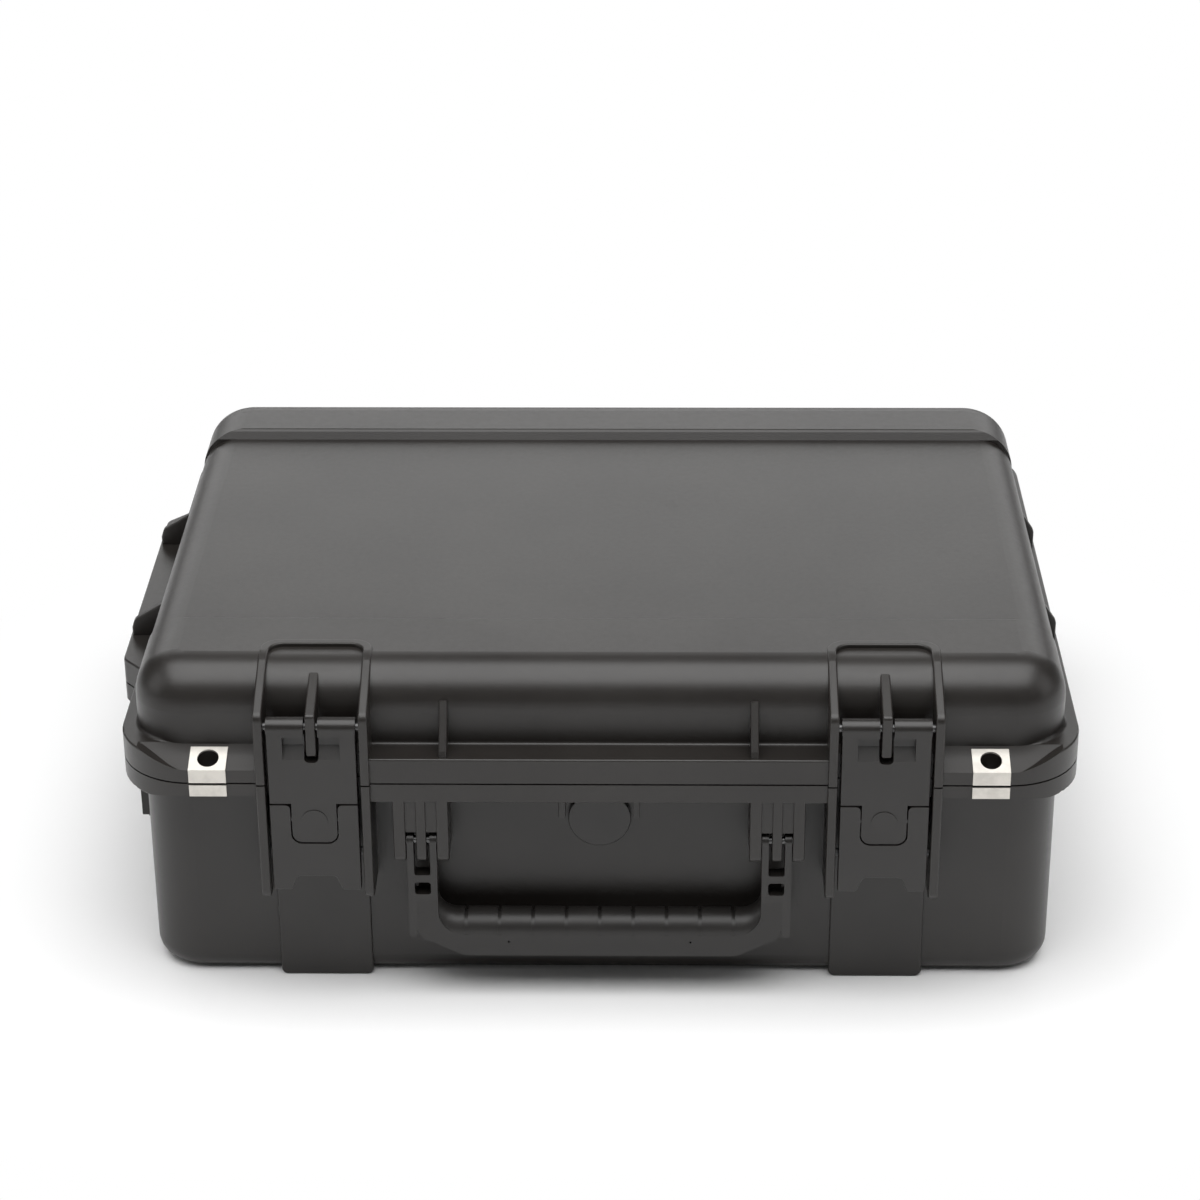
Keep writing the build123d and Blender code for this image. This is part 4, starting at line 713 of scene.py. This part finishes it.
@dataclass
class TriggerSprings:
    """The wound springs behind the latches' triggers.

    Attributes:
        finishes: The case's finishes.
        wire: Radius of the wire in metres.
        wire_facets: How finely the wire is rounded.
        turns: Turns of one winding.
        steps: Points in one turn.
        leg: Height of the winding's middle above the leg's end, in metres.
    """

    finishes: Finishes
    wire: float = 0.00035
    wire_facets: int = 3
    turns: int = 6
    steps: int = 16
    leg: float = 0.011

    def line(self, node: str) -> list[Vector]:
        """Points of one winding and its leg.

        Args:
            node: The spring's CAD node.

        Returns:
            The points, in metres.
        """
        lo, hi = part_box(node)
        centre_z = lo.z + self.leg
        radius = hi.z - centre_z
        centre_y = lo.y + radius
        mid = radius - self.wire
        x0, x1 = lo.x + self.wire, hi.x - self.wire
        count = self.turns * self.steps
        points = []
        for i in range(count + 1):
            angle = FULL_TURN * i / self.steps
            y, z = centre_y + mid * math.cos(angle), centre_z + mid * math.sin(angle)
            points.append(Vector((x0 + (x1 - x0) * i / count, y, z)))
        back = hi.y - self.wire
        points.append(Vector((x1, back, centre_z)))
        points.append(Vector((x1, back, lo.z)))
        return points

    def build(self) -> None:
        """Winds both springs."""
        for side in ("left", "right"):
            node = f"trigger_spring_{side}"
            curve = bpy.data.curves.new(f"winding_{side}", "CURVE")
            curve.dimensions = "3D"
            curve.bevel_depth = self.wire
            curve.bevel_resolution = self.wire_facets
            curve.use_fill_caps = True
            spline = curve.splines.new("POLY")
            points = self.line(node)
            spline.points.add(len(points) - 1)
            for target, point in zip(spline.points, points):
                target.co = (*point, 1.0)
            carrier = bpy.data.objects.new("carrier", curve)
            mesh = bpy.data.meshes.new_from_object(carrier)
            bpy.data.objects.remove(carrier)
            piece = new_piece(f"spring_winding_{side}", mesh)
            shaded_smooth(mesh)
            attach(piece, f"latch_{side}")
            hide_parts(node)
            self.finishes.dress(piece, "spring_steel")
        log.info("wound two springs")


@dataclass(frozen=True)
class SoftLamp:
    """One rectangular soft lamp.

    Attributes:
        name: The lamp's name.
        at: Its place in metres.
        aim: The point it faces.
        size: Width and height in metres.
        power: Watts.
    """

    name: str
    at: Triple
    aim: Triple
    size: tuple[float, float]
    power: float

    def build(self) -> None:
        """Hangs the lamp."""
        light = bpy.data.lights.new(self.name, "AREA")
        light.shape = "RECTANGLE"
        light.size, light.size_y = self.size
        light.energy = self.power
        piece = bpy.data.objects.new(self.name, light)
        piece.location = self.at
        towards = Vector(self.aim) - Vector(self.at)
        piece.rotation_euler = towards.to_track_quat("-Z", "Y").to_euler()
        bpy.context.scene.collection.objects.link(piece)


CASE_MIDDLE: Triple = (0.0, 0.0, 0.1)
LAMPS = (
    SoftLamp("overhead", (0.0, -0.75, 2.4), (0.0, -0.75, 0.0), (3.4, 2.6), 100.0),
    SoftLamp("left_bank", (-2.4, -0.6, 1.2), CASE_MIDDLE, (1.4, 1.6), 9.0),
    SoftLamp("right_bank", (2.4, -0.6, 1.2), CASE_MIDDLE, (1.4, 1.6), 8.0),
    SoftLamp("backdrop", (0.0, 3.0, 1.45), (0.0, 0.0, 1.45), (4.6, 1.9), 42.0),
)


@dataclass
class Studio:
    """Floor, sky, lamps and camera.

    Attributes:
        floor_half: Half the floor's side in metres.
        floor_colour: The floor's own colour.
        floor_roughness: The floor's roughness.
        floor_specular: The floor's specular level.
        shade_box: Half sizes of the box round which the floor keeps its shadow.
        shade_reach: Ramp units per metre away from that box.
        glow_from: Where the floor's plain white begins, in ramp units.
        glow_to: Where it is full.
        world_strength: The sky's strength.
        lens_mm: The camera's focal length.
        sensor_mm: The camera's sensor width.
        camera_at: The camera's place in metres.
        elevation: How far the camera looks down, in degrees.
        azimuth: Its turn about the upright, in degrees.
        roll: Its turn about its own axis, in degrees.
    """

    floor_half: float = 9.0
    floor_colour: Colour = grey(0.87)
    floor_roughness: float = 0.9
    floor_specular: float = 0.1
    shade_box: Triple = (0.25, 0.19, 0.0)
    shade_reach: float = 4.0
    glow_from: float = 0.25
    glow_to: float = 0.95
    world_strength: float = 0.12
    lens_mm: float = 95.5
    sensor_mm: float = 36.0
    camera_at: Triple = (0.0325, -1.8968, 1.1059)
    elevation: float = 26.52
    azimuth: float = 1.07
    roll: float = -0.35

    def floor(self) -> None:
        """A pale floor that keeps the case's shadow and shows plain white further out."""
        mesh = bpy.data.meshes.new("floor")
        h = self.floor_half
        mesh.from_pydata([(-h, -h, 0), (h, -h, 0), (h, h, 0), (-h, h, 0)], [], [(0, 1, 2, 3)])
        piece = new_piece("floor", mesh)
        shader = Shader("floor_paint")
        shader.finish(
            {
                "Base Color": self.floor_colour,
                "Roughness": self.floor_roughness,
                "Specular IOR Level": self.floor_specular,
            }
        )
        seen = shader.node("ShaderNodeLightPath").out("Is Camera Ray")
        around = shader.vector(VectorOp.ABSOLUTE, shader.place()).out()
        beyond = shader.vector(VectorOp.SUBTRACT, around, self.shade_box).out()
        apart = shader.vector(VectorOp.MAXIMUM, beyond, NO_LENGTH).out()
        away = shader.vector(VectorOp.LENGTH, apart).out("Value")
        clear = shader.ramp(away * self.shade_reach, self.glow_from, self.glow_to)
        glow = shader.node("ShaderNodeEmission", {}, {"Color": WHITE, "Strength": 1.0})
        output = shader.tree.nodes["Material Output"]
        paint = Value(shader, shader.principled.outputs[0])
        mixed = shader.node("ShaderNodeMixShader", {}, {0: seen * clear, 1: paint, 2: glow.out()})
        shader.feed(output.inputs["Surface"], mixed.out())
        mesh.materials.append(shader.material)

    def world(self) -> None:
        """A soft even sky, plain white behind the case."""
        world = bpy.data.worlds.new("studio")
        world.use_nodes = True
        tree = world.node_tree
        sky = tree.nodes["Background"]
        sky.inputs["Color"].default_value = WHITE
        sky.inputs["Strength"].default_value = self.world_strength
        plain = tree.nodes.new("ShaderNodeBackground")
        plain.inputs["Strength"].default_value = 1.0
        blend = tree.nodes.new("ShaderNodeMixShader")
        path = tree.nodes.new("ShaderNodeLightPath")
        tree.links.new(path.outputs["Is Camera Ray"], blend.inputs[0])
        tree.links.new(sky.outputs[0], blend.inputs[1])
        tree.links.new(plain.outputs[0], blend.inputs[2])
        tree.links.new(blend.outputs[0], tree.nodes["World Output"].inputs["Surface"])
        bpy.context.scene.world = world

    def camera(self) -> None:
        """The camera at the matching view."""
        data = bpy.data.cameras.new("camera")
        data.lens = self.lens_mm
        data.sensor_width = self.sensor_mm
        piece = bpy.data.objects.new("camera", data)
        a, e, r = (math.radians(v) for v in (self.azimuth, self.elevation, self.roll))
        forward = Vector((-math.sin(a) * math.cos(e), math.cos(a) * math.cos(e), -math.sin(e)))
        facing = forward.to_track_quat("-Z", "Y").to_matrix().to_4x4()
        piece.matrix_world = Matrix.Translation(self.camera_at) @ facing @ Matrix.Rotation(r, 4, "Z")
        bpy.context.scene.collection.objects.link(piece)
        bpy.context.scene.camera = piece

    def build(self) -> None:
        """Sets the stage."""
        self.floor()
        self.world()
        for lamp in LAMPS:
            lamp.build()
        self.camera()
        bpy.context.scene.view_settings.view_transform = "Standard"
        log.info("studio ready")


def main() -> None:
    """Builds the scene."""
    logging.basicConfig(level=logging.INFO, format="%(name)s: %(message)s")
    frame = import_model()
    finishes = Finishes()
    finishes.build()
    CarriedNodes(finishes).dress(frame)
    Foam(frame, finishes).build()
    TriggerSprings(finishes).build()
    Studio().build()


if __name__ == "__main__":
    main()
